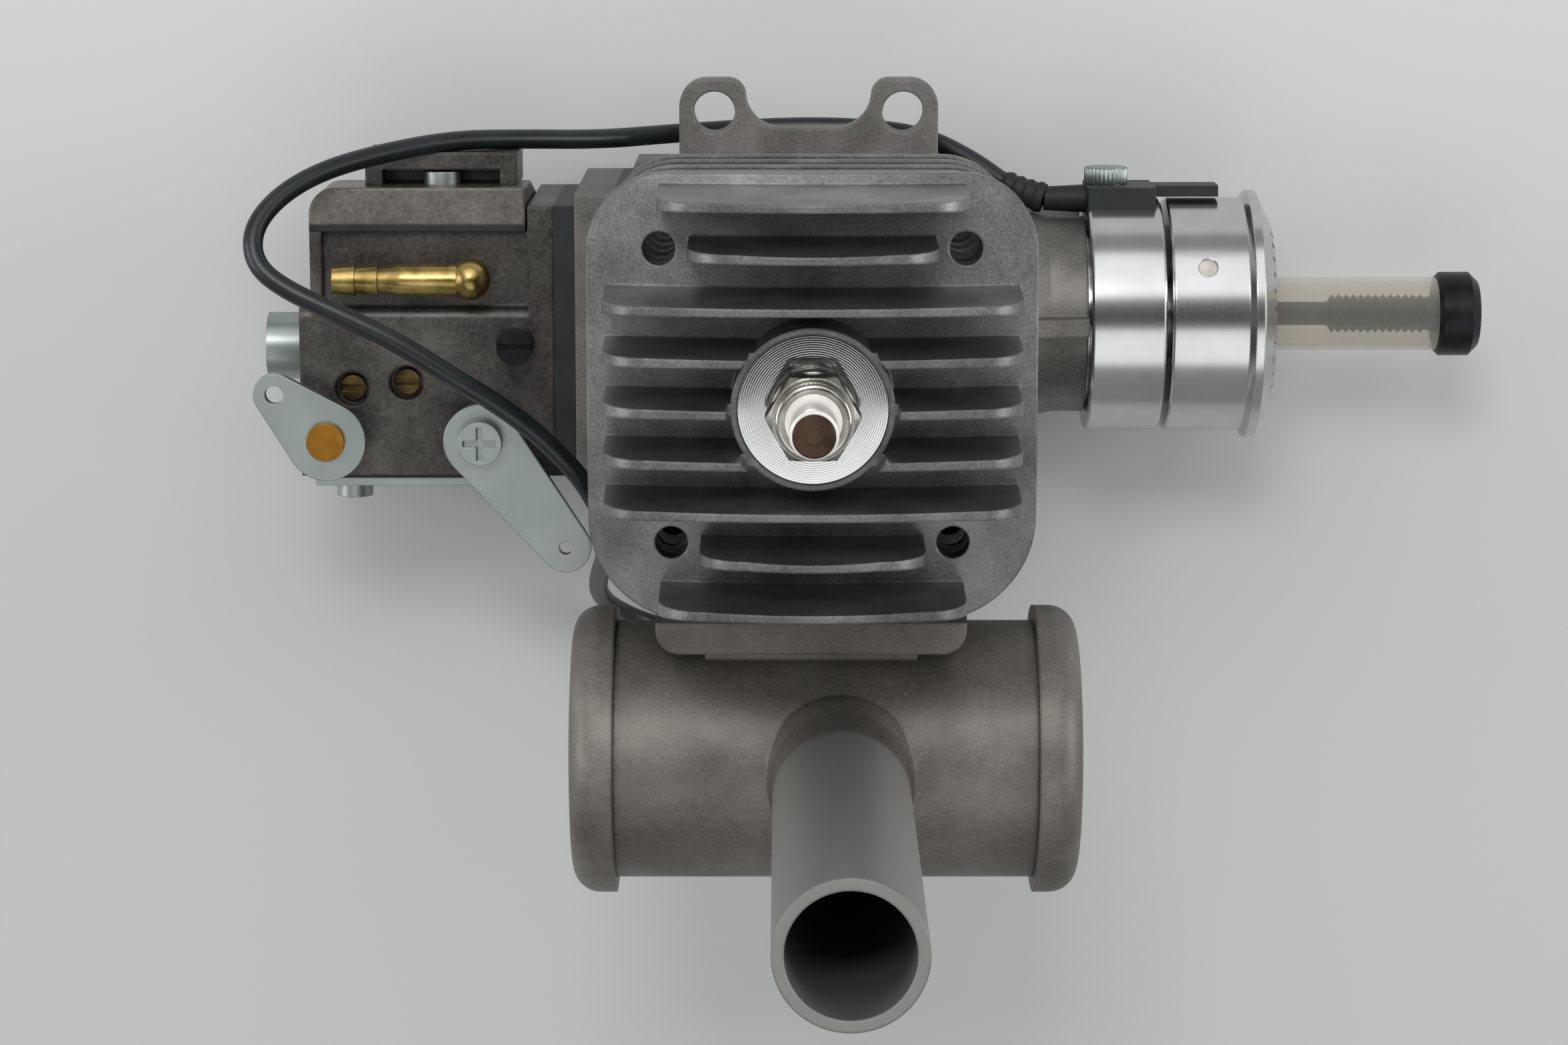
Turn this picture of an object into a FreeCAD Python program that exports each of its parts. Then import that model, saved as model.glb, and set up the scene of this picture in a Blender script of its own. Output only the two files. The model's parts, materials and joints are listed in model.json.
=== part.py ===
import FreeCAD, Part
import math
import os

# Single-cylinder, beam-mounted two-stroke model aircraft engine, in millimetres.
# Origin: crankshaft axis under the cylinder axis, centre of the four beam-mount holes.
# +X points to the propeller, +Z up the cylinder to the spark plug, -Y to the muffler.

Vector = FreeCAD.Vector
ORIGIN = Vector(0, 0, 0)
X_DIR = Vector(1, 0, 0)
Y_DIR = Vector(0, 1, 0)
Z_DIR = Vector(0, 0, 1)

# ---- fits and clearances -------------------------------------------------
RUNNING_FIT = 0.05          # radial gap of a shaft that turns or slides in its bore
BODY_GAP = 0.3              # least gap between faces of pieces that move apart
SEAT_GAP = 0.02             # radial gap of a piece that is pressed or screwed in place
HOLE_GAP = 0.08             # radial room of a clearance hole
SKIN = 1.0                  # how far a cutting shape reaches past the face it cuts

# ---- crank train ---------------------------------------------------------
BORE = 29.0
STROKE = 22.0
ROD_LENGTH = 44.0           # big end centre to small end centre
COMPRESSION_HEIGHT = 13.0   # wrist pin centre to piston crown
SKIRT_DROP = 11.0           # wrist pin centre to skirt edge
CROWN_THICKNESS = 3.2
SKIRT_WALL = 2.2
RING_WIDTH = 1.5
RING_LAND = 2.6             # crown to the top of the ring
RING_DEPTH = 1.3
WRIST_PIN_RADIUS = 4.0
WRIST_PIN_LENGTH = 24.0
PIN_BOSS_RADIUS = 6.6
ROD_SMALL_RADIUS = 6.0
ROD_BIG_RADIUS = 6.4
ROD_WIDTH = 7.6             # width of both rod eyes along the crank axis
ROD_SHANK_WIDTH = 4.0
ROD_SHANK_BREADTH = 6.4
ROD_POCKET = 1.1            # depth of the flutes in the shank
CIRCLIP_WIRE = 0.9
CIRCLIP_GAP = 2.4
RING_END_GAP = 0.4
WRIST_PIN_WALL = 1.6
ROD_POCKET_MARGIN = 3.0     # rod eye to the end of the flutes
CRANKPIN_RADIUS = 4.0
CRANKPIN_REAR = 5.2         # how far the crankpin reaches behind the rod centre plane
WEB_RADIUS = 17.0
WEB_THICKNESS = 5.5
WEB_CHEEK_RADIUS = 9.5      # rounded end of the web around the crankpin
JOURNAL_RADIUS = 7.5
SHAFT_RADIUS = 6.0
STUB_RADIUS = 4.0           # front end of the shaft, inside the driver
TAPER_SINK = 2.0            # end of the shaft's taper below the driver's face
EDGE_BREAK = 0.5            # chamfer on the ends of turned pieces
SQUISH_GAP = 1.0
CHAMBER_HEIGHT = 7.0
CHAMBER_RADIUS = 12.0

# ---- bearings ------------------------------------------------------------
REAR_BEARING_RADIUS = 14.0
REAR_BEARING_WIDTH = 7.0
REAR_BALL_RADIUS = 1.95
REAR_BALL_COUNT = 11
FRONT_BEARING_RADIUS = 12.0
FRONT_BEARING_WIDTH = 6.0
FRONT_BALL_RADIUS = 1.7
FRONT_BALL_COUNT = 10
RACE_THICKNESS = 2.0
RACE_LAND = 1.2             # race shoulder to the balls' pitch circle
SEAL_WIDTH = 2.4

# ---- crankcase and beam mount -------------------------------------------
CASE_HALF_WIDTH = 20.4
CASE_WALL = 2.0
CASE_FRONT_X = 21.0
CASE_REAR_X = -23.3
CASE_BOTTOM_Z = -22.4
CASE_FLOOR = 2.6
CASE_CORNER_RADIUS = 9.0
CASE_REAR_WALL = 5.0
CASE_FRONT_ROUND = 5.0      # upright corners beside the nose
INTAKE_WINDOW_LOW_Y = -17.4
INTAKE_WINDOW_HIGH_Y = 14.5
INTAKE_WINDOW_HALF_Z = 9.5
DECK_Z = 24.5
DECK_THICKNESS = 4.5
DECK_HALF_X = 22.0
DECK_HALF_Y = 23.2
DECK_CORNER_RADIUS = 4.0
NOSE_END_X = 37.0
NOSE_ROOT_RADIUS = 19.0
NOSE_TIP_RADIUS = 13.2
NOSE_RIB_THICKNESS = 2.4
NOSE_RIB_COUNT = 3
NOSE_RIB_RISE = 2.0         # rib above the nose at its front end
NOSE_FLARE = 4.0            # length of the flare at the root of the nose
NOSE_NECK = 5.0             # length of the straight front end of the nose
LUG_THICKNESS = 5.0
LUG_HALF_LENGTH = 17.3
LUG_REACH = 31.8            # crank axis to the outer edge of a lug
LUG_HOLE_HALF_X = 12.6
LUG_HOLE_HALF_Y = 27.4
LUG_HOLE_RADIUS = 2.75
LUG_CORNER_RADIUS = 3.6
LUG_SCOOP_HALF_X = 8.4      # hollow between the two ears of a lug
LUG_SCOOP_DEPTH = 6.5
LUG_SCOOP_ROUND = 4.5
LUG_EAR_ROUND = 2.4

# ---- cylinder and head ---------------------------------------------------
BASE_GASKET_THICKNESS = 0.5
BASE_FLANGE_THICKNESS = 5.0
CYLINDER_WALL = 4.2
LINER_WALL = 1.9
LINER_DROP = 4.0            # how far the liner reaches below the deck
BOLT_HALF_Y = 17.3          # cylinder bolts and the access holes above them
BOLT_WIDE_HALF_X = 17.8     # the pair away from the exhaust
BOLT_NARROW_HALF_X = 16.5   # the pair beside the exhaust
BOLT_RADIUS = 2.0
BOLT_HEAD_RADIUS = 3.5
BOLT_HEAD_HEIGHT = 4.0
BOLT_LENGTH = 14.0
HEX_SOCKET_FLATS = 3.0
HEX_SOCKET_DEPTH = 2.2
ACCESS_HOLE_RADIUS = 1.95
FIN_LENGTH_X = 52.6
FIN_LENGTH_Y = 53.0
FIN_SHIFT_Y = -0.6          # centre of the head plate, towards the exhaust
FIN_CORNER_PLUG = 9.0       # corner radius on the side away from the exhaust
FIN_CORNER_EXHAUST = 12.5
BARREL_FIN_COUNT = 5
BARREL_FIN_PITCH = 7.2
BARREL_FIN_THICKNESS = 1.6
BARREL_FIN_INSET = 1.0      # edge of the head plate to the edge of a barrel fin
HEAD_PLATE_THICKNESS = 3.2
HEAD_DOME_RISE = 2.4
HEAD_DOME_RADIUS = 150.0
HEAD_FIN_COUNT = 9
HEAD_FIN_PITCH = 5.85
HEAD_FIN_HEIGHT = 16.0      # above the edge of the head plate
HEAD_FIN_TIP = 0.9
HEAD_FIN_ROOT = 2.6
HEAD_FIN_CROWN = 1.8        # how much a fin stands taller in its middle
HEAD_FIN_END_RADIUS = 5.5
HEAD_FIN_MARGIN = 2.2       # plate edge to the end of a full-length fin
HOLE_MARGIN = 1.5           # access hole wall to the fin that stops beside it
PLUG_BOSS_RADIUS = 9.4
SPOTFACE_RADIUS = 8.7
SPOTFACE_DEPTH = 0.4
SPOTFACE_CLEARANCE = 0.4    # cutter wall to the boss
PLUG_SEAT_Z = 85.5
HEAD_DROP = 10.5            # plug seat to the edge of the head plate
TRANSFER_HALF_WIDTH = 6.5
TRANSFER_DEPTH = 3.0
TRANSFER_WALL = 2.0
PORT_WALL = 1.2             # exhaust port to the screw holes beside it
PORT_HEIGHT = 9.0

# ---- exhaust -------------------------------------------------------------
EXHAUST_BOSS_WALL = 4.8     # screw hole to the end of the boss
EXHAUST_BOSS_HALF_Z = 11.5
EXHAUST_FACE_Y = -29.5
EXHAUST_Z = 48.0
MUFFLER_Y = -48.8
MUFFLER_SHIFT_X = 1.8       # can centre ahead of the cylinder axis
MUFFLER_RADIUS = 16.1
MUFFLER_WALL = 1.8
MUFFLER_LENGTH = 56.4
MUFFLER_LIP_RADIUS = 18.0
MUFFLER_LIP_WIDTH = 2.2
MUFFLER_CAP_HEIGHT = 3.2    # how far an end cap stands out of the can
MUFFLER_CAP_ROUND = 3.4
MUFFLER_CAP_STEP = 2.4      # how far an end cap plugs into the can
MUFFLER_FLANGE_THICKNESS = 4.0
MUFFLER_FLANGE_ROUND = 3.0
MUFFLER_GASKET_THICKNESS = 0.8
MUFFLER_SCREW_RADIUS = 2.0
MUFFLER_SCREW_HALF_SPACING = 12.2
MUFFLER_SCREW_HEAD_RADIUS = 3.4
MUFFLER_SCREW_GRIP = 8.0     # thread taken up in the cylinder
MUFFLER_SCREW_SINK = 4.9     # head seat below the far side of the can
MUFFLER_SCREW_HEAD_HEIGHT = 4.0
MUFFLER_TUBE_RADIUS = 5.0    # cast tube around each screw inside the can
MUFFLER_NECK_HALF_X = 13.0
MUFFLER_NECK_HALF_Z = 9.0
OUTLET_RADIUS = 8.3
OUTLET_WALL = 1.35
OUTLET_TIP_Z = 138.5
OUTLET_X = 3.6
OUTLET_COLLAR = 1.4          # flare of the outlet where it leaves the can
OUTLET_COLLAR_HEIGHT = 3.0

# ---- spark plug ----------------------------------------------------------
PLUG_THREAD_RADIUS = 3.1
PLUG_WASHER_RADIUS = 4.9
PLUG_WASHER_THICKNESS = 1.4
PLUG_FLANGE_HEIGHT = 1.4
PLUG_HEX_FLATS = 9.45
PLUG_HEX_HEIGHT = 5.0
PLUG_COLLAR_RADIUS = 4.55
PLUG_COLLAR_HEIGHT = 1.9
PLUG_INSULATOR_RADIUS = 2.75
PLUG_SHOULDER = 0.5         # step of the insulator where the shell grips it
PLUG_INSULATOR_TOP = 19.2   # above the seat
PLUG_TERMINAL_RADIUS = 2.42
PLUG_TERMINAL_HEIGHT = 0.8
PLUG_CORE_RADIUS = 0.9
PLUG_CORE_DROP = 0.8        # centre electrode below the shell
PLUG_NOSE_RADIUS = 2.2      # bore of the shell around the insulator's nose
PLUG_STEP_Z = 88.0
PLUG_CRIMP = 0.4
PLUG_TERMINAL_BREAK = 0.2
PLUG_STRAP_HALF = 0.6       # half width of the side electrode
PLUG_STRAP_DROP = 1.8

# ---- propeller end -------------------------------------------------------
RING_RADIUS = 15.7
RING_START_X = 37.3
RING_LENGTH = 9.9
RING_BREAK = 0.3            # chamfer on the edges of the ring and the driver
DRIVER_START_X = 47.9
DRIVER_LENGTH = 10.2
DRIVER_LIP_RADIUS = 16.7
DRIVER_LIP_WIDTH = 3.9
DRIVER_LIP_STEP = 0.7       # slope at the back of the lip
DRIVER_LIP_EDGE = 1.2       # width of the lip at its full radius
DRIVER_FACE_RADIUS = 12.6
DRIVER_RECESS_DEPTH = 0.8   # seat of the sleeve in the driver's face
SERRATION_COUNT = 36
SERRATION_DEPTH = 0.5
SERRATION_WIDTH = 0.7
PROP_BOLT_RADIUS = 2.6
PROP_BOLT_LENGTH = 32.0
PROP_BOLT_THREAD_LENGTH = 14.0
PROP_BOLT_PILOT_RADIUS = 1.6  # bare rod between the thread and the shaft
PROP_BOLT_GROOVE = 0.45
PROP_BOLT_PITCH = 1.0
PROP_BOLT_HEAD_RADIUS = 5.65
PROP_BOLT_HEAD_HEIGHT = 5.6
PROP_BOLT_HEAD_X = 84.8
PROP_BOLT_HEAD_ROUND = 1.2
PROP_BOLT_TIP_BREAK = 0.6
PROP_BOLT_SOCKET_FLATS = 5.0
PROP_BOLT_SOCKET_DEPTH = 3.5
SLEEVE_RADIUS = 4.9
SLEEVE_WALL = 0.5
MAGNET_RADIUS = 1.25
MAGNET_DEPTH = 3.0
MAGNET_ANGLE = 60.0         # degrees round the crank axis from +Y to +Z
MAGNET_X = 52.6
MAGNET_SINK = 0.15          # face of the magnet below the driver's surface

# ---- ignition sensor and its lead ---------------------------------------
SENSOR_SEAT_Y = 13.4
SENSOR_HEIGHT = 4.2
SENSOR_LENGTH = 9.0
SENSOR_HALF_Z = 5.6
SENSOR_ARM_REACH = 7.7      # past the end of the nose ring
SENSOR_ARM_HALF_Z = 2.6
SENSOR_ARM_THICKNESS = 1.5
SENSOR_SCREW_HEAD_RADIUS = 2.7
SENSOR_SCREW_HEAD_HEIGHT = 2.3
SENSOR_SCREW_RADIUS = 1.5
SENSOR_SCREW_INSET = 2.7     # screw centre from the rear of the nose ring
GLAND_LENGTH = 5.6
GLAND_DROP = 2.0            # axis of the gland below the top of the sensor
GLAND_Z = -0.3
GLAND_RADIUS = 1.9
SLOT_WIDTH = 0.8
SLOT_DEPTH = 0.9
CROSS_SHARE = 0.75          # how far across a head its crossed slots reach
GLAND_LIP = 0.3
LEAD_DIAMETER = 2.6
ARC_SHARE = 0.45            # share of the shorter run that each of the lead's arcs takes
LEAD_POINTS = (             # gland, past the case, round the carburettor, under the muffler
    (31.7, 15.6, -0.3), (27.6, 16.7, -1.1), (22.4, 20.4, -4.2), (15.5, 23.6, -7.0), (7.0, 24.5, -8.4),
    (-2.0, 24.6, -8.8), (-11.0, 24.2, -8.2), (-19.0, 23.8, -6.2), (-28.0, 24.0, -1.8), (-37.5, 24.8, 4.4),
    (-47.0, 25.2, 9.4), (-56.2, 23.6, 14.2), (-63.6, 21.0, 18.8), (-69.0, 17.8, 22.3), (-71.8, 13.8, 25.0),
    (-71.2, 9.6, 26.6), (-67.2, 6.6, 27.6), (-60.5, 3.6, 28.2), (-53.0, 0.0, 28.4), (-46.0, -4.6, 28.0),
    (-39.4, -8.8, 27.2), (-33.6, -13.6, 26.4), (-28.8, -19.4, 25.0), (-26.6, -26.0, 19.2),
    (-27.2, -31.4, 11.0), (-28.6, -35.8, 1.6), (-29.2, -40.0, -7.4), (-27.4, -43.8, -15.0),
    (-22.2, -47.2, -19.8), (-14.6, -49.4, -21.1), (-6.4, -50.2, -21.1), (1.6, -49.8, -21.1),
)
LEAD_PIN_PITCH = 2.54
LEAD_PIN_DEPTH = 8.0
LEAD_PIN_HALF = 0.4
LEAD_PLUG_LENGTH = 14.0
LEAD_PLUG_WIDTH = 7.8
LEAD_PLUG_HEIGHT = 2.6

# ---- intake --------------------------------------------------------------
INTAKE_PLATE_THICKNESS = 2.3
MANIFOLD_THICKNESS = 5.0
INSULATOR_THICKNESS = 3.0
INTAKE_LOW_Y = -20.8
INTAKE_HIGH_Y = 18.0
INTAKE_HALF_Z = 18.5
MANIFOLD_PORT_RADIUS = 4.8
REED_THICKNESS = 0.3
REED_HALF_WIDTH = 5.4
REED_HALF_HEIGHT = 6.4
REED_PORT_Y = -12.8          # middle of the reed port, beside the carburettor bolts
REED_PORT_HALF_Y = 4.4
REED_PORT_HALF_Z = 5.2
MANIFOLD_POCKET_DEPTH = 3.2
MANIFOLD_POCKET_MARGIN = 0.8
INTAKE_SCREW_LOW_Y = -15.5
INTAKE_SCREW_HIGH_Y = 14.2
INTAKE_SCREW_HALF_Z = 14.5
INTAKE_SCREW_RADIUS = 1.5
INTAKE_SCREW_HEAD_RADIUS = 2.7
INTAKE_SCREW_HEAD_HEIGHT = 2.0
INTAKE_SCREW_GRIP = 4.4      # thread taken up in the rear wall of the case
INTAKE_SCREW_SINK = 2.2      # head seat below the rear face of the manifold

# ---- carburettor ---------------------------------------------------------
CARB_LENGTH = 32.1
CARB_TOP_Z = 14.0
CARB_BOTTOM_Z = -16.0
CARB_PUMP_Y = 12.6          # joint face of the fuel pump cover
CARB_METERING_Y = -19.9     # joint face of the metering cover
CARB_BARREL_Y = -14.4
CARB_BARREL_Z = -1.0
CARB_BARREL_TOP_Y = 2.6     # edge of the round barrel casting
CARB_STEP = 1.6             # how far the pump half lies below the barrel top
CARB_FLANGE_THICKNESS = 3.4
CARB_FLANGE_TOP_Y = 16.0
CARB_BARREL_ROUND = 1.5
CHOKE_END_X = -56.0         # where the choke bore narrows to the throat
THROAT_END_X = -50.0
CARB_BOLT_TIP_X = -26.6
METERING_SCREW_HALF_X = 11.2
METERING_SCREW_HIGH_Z = 9.0
METERING_SCREW_LOW_Z = -11.0
COVER_SCREW_GRIP = 3.6
PUMP_SCREW_X = -48.5
PUMP_SCREW_Z = 9.0
PUMP_SCREW_GRIP = 5.0
PUMP_COVER_ROUND = 3.5
PUMP_BRACKET_FRONT_Z = 11.0
PUMP_BRACKET_REAR_Z = -1.0
PUMP_SLOPE_Z = 3.0          # where the far side of the pump cover starts to slope
PUMP_SLOPE_EDGE = 1.0       # what the slope leaves of the cover at its far edge
NEEDLE_HEAD_DEPTH = 3.4
IDLE_SCREW_RADIUS = 1.3
IDLE_SCREW_DEPTH = 6.0
IDLE_HEAD_RADIUS = 2.4
IDLE_HEAD_HEIGHT = 1.6
BARB_STEM_DEPTH = 3.0
BARB_BORE_RADIUS = 1.1
BARB_RIDGES = 3
BARB_RIDGE_PITCH = 3.0
BARB_RIDGE_STEP = 0.35
LEVER_SCREW_SHANK = 1.2
LEVER_SCREW_GRIP = 4.5
CHOKE_RIVET_HEIGHT = 0.8
CHOKE_BORE_RADIUS = 4.8
THROAT_RADIUS = 3.9
THROTTLE_BORE_RADIUS = 4.6
PUMP_COVER_THICKNESS = 4.9
PUMP_GASKET_THICKNESS = 0.9
PUMP_BRACKET_LENGTH = 20.0
PUMP_BRACKET_HEIGHT = 4.4
METERING_GASKET_THICKNESS = 0.5
METERING_COVER_THICKNESS = 1.1
COVER_SCREW_RADIUS = 2.4
COVER_SCREW_HEIGHT = 1.8
COVER_SCREW_SHANK = 1.4
CARB_BOLT_RADIUS = 2.5
CARB_BOLT_HEAD_RADIUS = 4.5
CARB_BOLT_HEAD_HEIGHT = 5.2
CARB_BOLT_Y = -3.8
CARB_BOLT_Z = 4.0
CARB_BOLT_LOW_Y = -6.0
CARB_BOLT_LOW_Z = -11.5
BARB_Y = 6.6
BARB_RISE = 3.0             # barb axis above the carburettor face
BARB_RADIUS = 2.1
BARB_BALL_RADIUS = 2.7
BARB_LENGTH = 18.0
BARB_BALL_X = -44.4
THROTTLE_X = -43.1
CHOKE_X = -63.4
VALVE_SHAFT_RADIUS = 1.9
VALVE_PLATE_THICKNESS = 0.8
VALVE_PLATE_GAP = 0.15      # plate edge to bore wall
SHAFT_FOOT_LENGTH = 1.5     # shaft end below the casting
LEVER_RISE = 4.4            # lever underside above the casting
LEVER_THICKNESS = 1.4
THROTTLE_HUB_RADIUS = 4.9
THROTTLE_TIP_RADIUS = 3.3
THROTTLE_ARM_LENGTH = 18.0
THROTTLE_ARM_ANGLE = -52.0
THROTTLE_HOLE_RADIUS = 0.9
CHOKE_HUB_RADIUS = 5.2
CHOKE_TIP_RADIUS = 2.8
CHOKE_ARM_LENGTH = 9.1
CHOKE_ARM_ANGLE = 137.0
CHOKE_HOLE_RADIUS = 1.2
CHOKE_RIVET_RADIUS = 2.5
LEVER_SCREW_RADIUS = 2.9
LEVER_SCREW_HEIGHT = 2.0
NEEDLE_RADIUS = 1.7
NEEDLE_STEM_RADIUS = 0.8
NEEDLE_LENGTH = 6.0
NEEDLE_SINK = 0.8           # head of a needle below the casting
NEEDLE_WELL_RADIUS = 2.3
NEEDLE_WELL_DEPTH = 1.6
HIGH_NEEDLE = (-60.4, -8.2)  # x and y of the two mixture needles
LOW_NEEDLE = (-53.2, -7.4)
IDLE_SCREW_X = -38.6
IDLE_SCREW_Y = -2.0
IDLE_SCREW_RISE = 5.0

# ---- values that follow from the ones above -----------------------------
THROW = STROKE / 2
BORE_RADIUS = BORE / 2
PIN_Z = THROW + ROD_LENGTH
CROWN_Z = PIN_Z + COMPRESSION_HEIGHT
ROOF_Z = CROWN_Z + SQUISH_GAP
CHAMBER_TOP_Z = ROOF_Z + CHAMBER_HEIGHT
WEB_REAR_X = ROD_WIDTH / 2 + 2 * BODY_GAP
WEB_FRONT_X = WEB_REAR_X + WEB_THICKNESS
REAR_BEARING_X = WEB_FRONT_X + SKIN
CHAMBER_HALF_WIDTH = CASE_HALF_WIDTH - CASE_WALL
BASE_Z = DECK_Z + BASE_GASKET_THICKNESS
BARREL_Z = BASE_Z + BASE_FLANGE_THICKNESS
BARREL_RADIUS = BORE_RADIUS + CYLINDER_WALL
HEAD_EDGE_Z = PLUG_SEAT_Z - HEAD_DROP
FIN_TIP_Z = HEAD_EDGE_Z + HEAD_FIN_HEIGHT
BOLT_PLACES = ((BOLT_WIDE_HALF_X, BOLT_HALF_Y), (-BOLT_WIDE_HALF_X, BOLT_HALF_Y),
               (BOLT_NARROW_HALF_X, -BOLT_HALF_Y), (-BOLT_NARROW_HALF_X, -BOLT_HALF_Y))
BOLT_GRIP = BOLT_LENGTH - BASE_FLANGE_THICKNESS - BASE_GASKET_THICKNESS
PORT_HALF_WIDTH = MUFFLER_SCREW_HALF_SPACING - MUFFLER_SCREW_RADIUS - PORT_WALL
EXHAUST_BOSS_HALF_X = MUFFLER_SCREW_HALF_SPACING + MUFFLER_SCREW_RADIUS + EXHAUST_BOSS_WALL
EXHAUST_FLANGE_Y = EXHAUST_FACE_Y - MUFFLER_GASKET_THICKNESS
RING_END_X = RING_START_X + RING_LENGTH
FRONT_BEARING_X = RING_END_X - FRONT_BEARING_WIDTH - SKIN
DRIVER_END_X = DRIVER_START_X + DRIVER_LENGTH + DRIVER_LIP_WIDTH
DRIVER_LIP_X = DRIVER_START_X + DRIVER_LENGTH
DRIVER_RECESS_RADIUS = SLEEVE_RADIUS + BODY_GAP
DRIVER_RECESS_X = DRIVER_END_X - DRIVER_RECESS_DEPTH
STUB_END_X = DRIVER_RECESS_X - BODY_GAP
DRIVER_BORE_RADIUS = STUB_RADIUS + SKIN + 2 * SEAT_GAP
PROP_BOLT_TIP_X = PROP_BOLT_HEAD_X - PROP_BOLT_LENGTH
PLATE_X = CASE_REAR_X - INTAKE_PLATE_THICKNESS
MANIFOLD_X = PLATE_X - MANIFOLD_THICKNESS
CARB_FRONT_X = MANIFOLD_X - INSULATOR_THICKNESS
CARB_REAR_X = CARB_FRONT_X - CARB_LENGTH
LEVER_Z = CARB_TOP_Z + LEVER_RISE
LEVER_TOP_Z = LEVER_Z + LEVER_THICKNESS
SENSOR_SCREW_X = RING_START_X + SENSOR_SCREW_INSET
SENSOR_TOP_Y = SENSOR_SEAT_Y + SENSOR_HEIGHT
GLAND_END_X = RING_START_X - GLAND_LENGTH
GLAND_Y = SENSOR_TOP_Y - GLAND_DROP
SENSOR_END_X = RING_START_X + SENSOR_LENGTH
CARB_AIR_X = CARB_REAR_X - CARB_STEP
PUMP_FACE_Z = CARB_TOP_Z - CARB_STEP
PUMP_COVER_Y = CARB_PUMP_Y + PUMP_GASKET_THICKNESS
PUMP_TOP_Y = PUMP_COVER_Y + PUMP_COVER_THICKNESS
METERING_COVER_Y = CARB_METERING_Y - METERING_GASKET_THICKNESS
METERING_END_Y = METERING_COVER_Y - METERING_COVER_THICKNESS
INTAKE_SCREWS = ((INTAKE_SCREW_HIGH_Y, INTAKE_SCREW_HALF_Z), (INTAKE_SCREW_HIGH_Y, -INTAKE_SCREW_HALF_Z),
                 (INTAKE_SCREW_LOW_Y, INTAKE_SCREW_HALF_Z), (INTAKE_SCREW_LOW_Y, -INTAKE_SCREW_HALF_Z))
CARB_BOLTS = ((CARB_BOLT_Y, CARB_BOLT_Z), (CARB_BOLT_LOW_Y, CARB_BOLT_LOW_Z))
CAN_REAR_X = MUFFLER_SHIFT_X - MUFFLER_LENGTH / 2
CAN_FRONT_X = MUFFLER_SHIFT_X + MUFFLER_LENGTH / 2
SCREW_SEAT_Y = MUFFLER_Y - MUFFLER_RADIUS + MUFFLER_SCREW_SINK
PLUG_FLANGE_Z = PLUG_SEAT_Z + PLUG_WASHER_THICKNESS
PLUG_HEX_TOP_Z = PLUG_FLANGE_Z + PLUG_FLANGE_HEIGHT + PLUG_HEX_HEIGHT
PLUG_COLLAR_TOP_Z = PLUG_HEX_TOP_Z + PLUG_COLLAR_HEIGHT
PLUG_TOP_Z = PLUG_SEAT_Z + PLUG_INSULATOR_TOP
PLUG_SHOULDER_RADIUS = PLUG_INSULATOR_RADIUS + PLUG_SHOULDER
INTAKE_SEAT_X = MANIFOLD_X + INTAKE_SCREW_SINK
BARB_Z = CARB_TOP_Z + BARB_RISE


# ---- basic shapes --------------------------------------------------------
def box(x0, x1, y0, y1, z0, z1):
    return Part.makeBox(x1 - x0, y1 - y0, z1 - z0, Vector(x0, y0, z0))


def rod_x(x0, x1, radius, y=0, z=0):
    return Part.makeCylinder(radius, x1 - x0, Vector(x0, y, z), X_DIR)


def rod_y(y0, y1, radius, x=0, z=0):
    return Part.makeCylinder(radius, y1 - y0, Vector(x, y0, z), Y_DIR)


def rod_z(z0, z1, radius, x=0, y=0):
    return Part.makeCylinder(radius, z1 - z0, Vector(x, y, z0), Z_DIR)


def tube_x(x0, x1, outer, inner):
    return rod_x(x0, x1, outer).cut(rod_x(x0 - SKIN, x1 + SKIN, inner))


def fuse_all(shapes):
    return shapes[0].multiFuse(shapes[1:]).removeSplitter()


def cut_all(shape, tools):
    for tool in tools:
        shape = shape.cut(tool)
    return shape


def outline_prism(points, origin_z, height):
    """A prism along +Z over a closed outline of straight edges."""
    corners = [Vector(x, y, origin_z) for x, y in points]
    face = Part.Face(Part.makePolygon(corners + corners[:1]))
    return face.extrude(Vector(0, 0, height))


def revolve_x(profile):
    """A solid turned about the X axis from (x, radius) points."""
    points = [Vector(x, radius, 0) for x, radius in profile]
    face = Part.Face(Part.makePolygon(points + points[:1]))
    return face.revolve(ORIGIN, X_DIR, 360)


def revolve_z(profile, x=0, y=0):
    """A solid turned about the Z axis from (radius, z) points, moved to x, y."""
    points = [Vector(radius, 0, z) for radius, z in profile]
    face = Part.Face(Part.makePolygon(points + points[:1]))
    solid = face.revolve(ORIGIN, Z_DIR, 360)
    solid.translate(Vector(x, y, 0))
    return solid


def hexagon(flats, z0, z1, x=0, y=0):
    """A hexagonal prism along Z with two corners on the X axis."""
    corner = flats / math.sqrt(3)
    angles = [math.radians(60 * k) for k in range(6)]
    points = [(x + corner * math.cos(a), y + corner * math.sin(a)) for a in angles]
    return outline_prism(points, z0, z1 - z0)


def turned(shape, angle, axis=Z_DIR, centre=ORIGIN):
    shape = shape.copy()
    shape.rotate(centre, axis, angle)
    return shape


def moved(shape, x=0, y=0, z=0):
    shape = shape.copy()
    shape.translate(Vector(x, y, z))
    return shape


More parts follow.
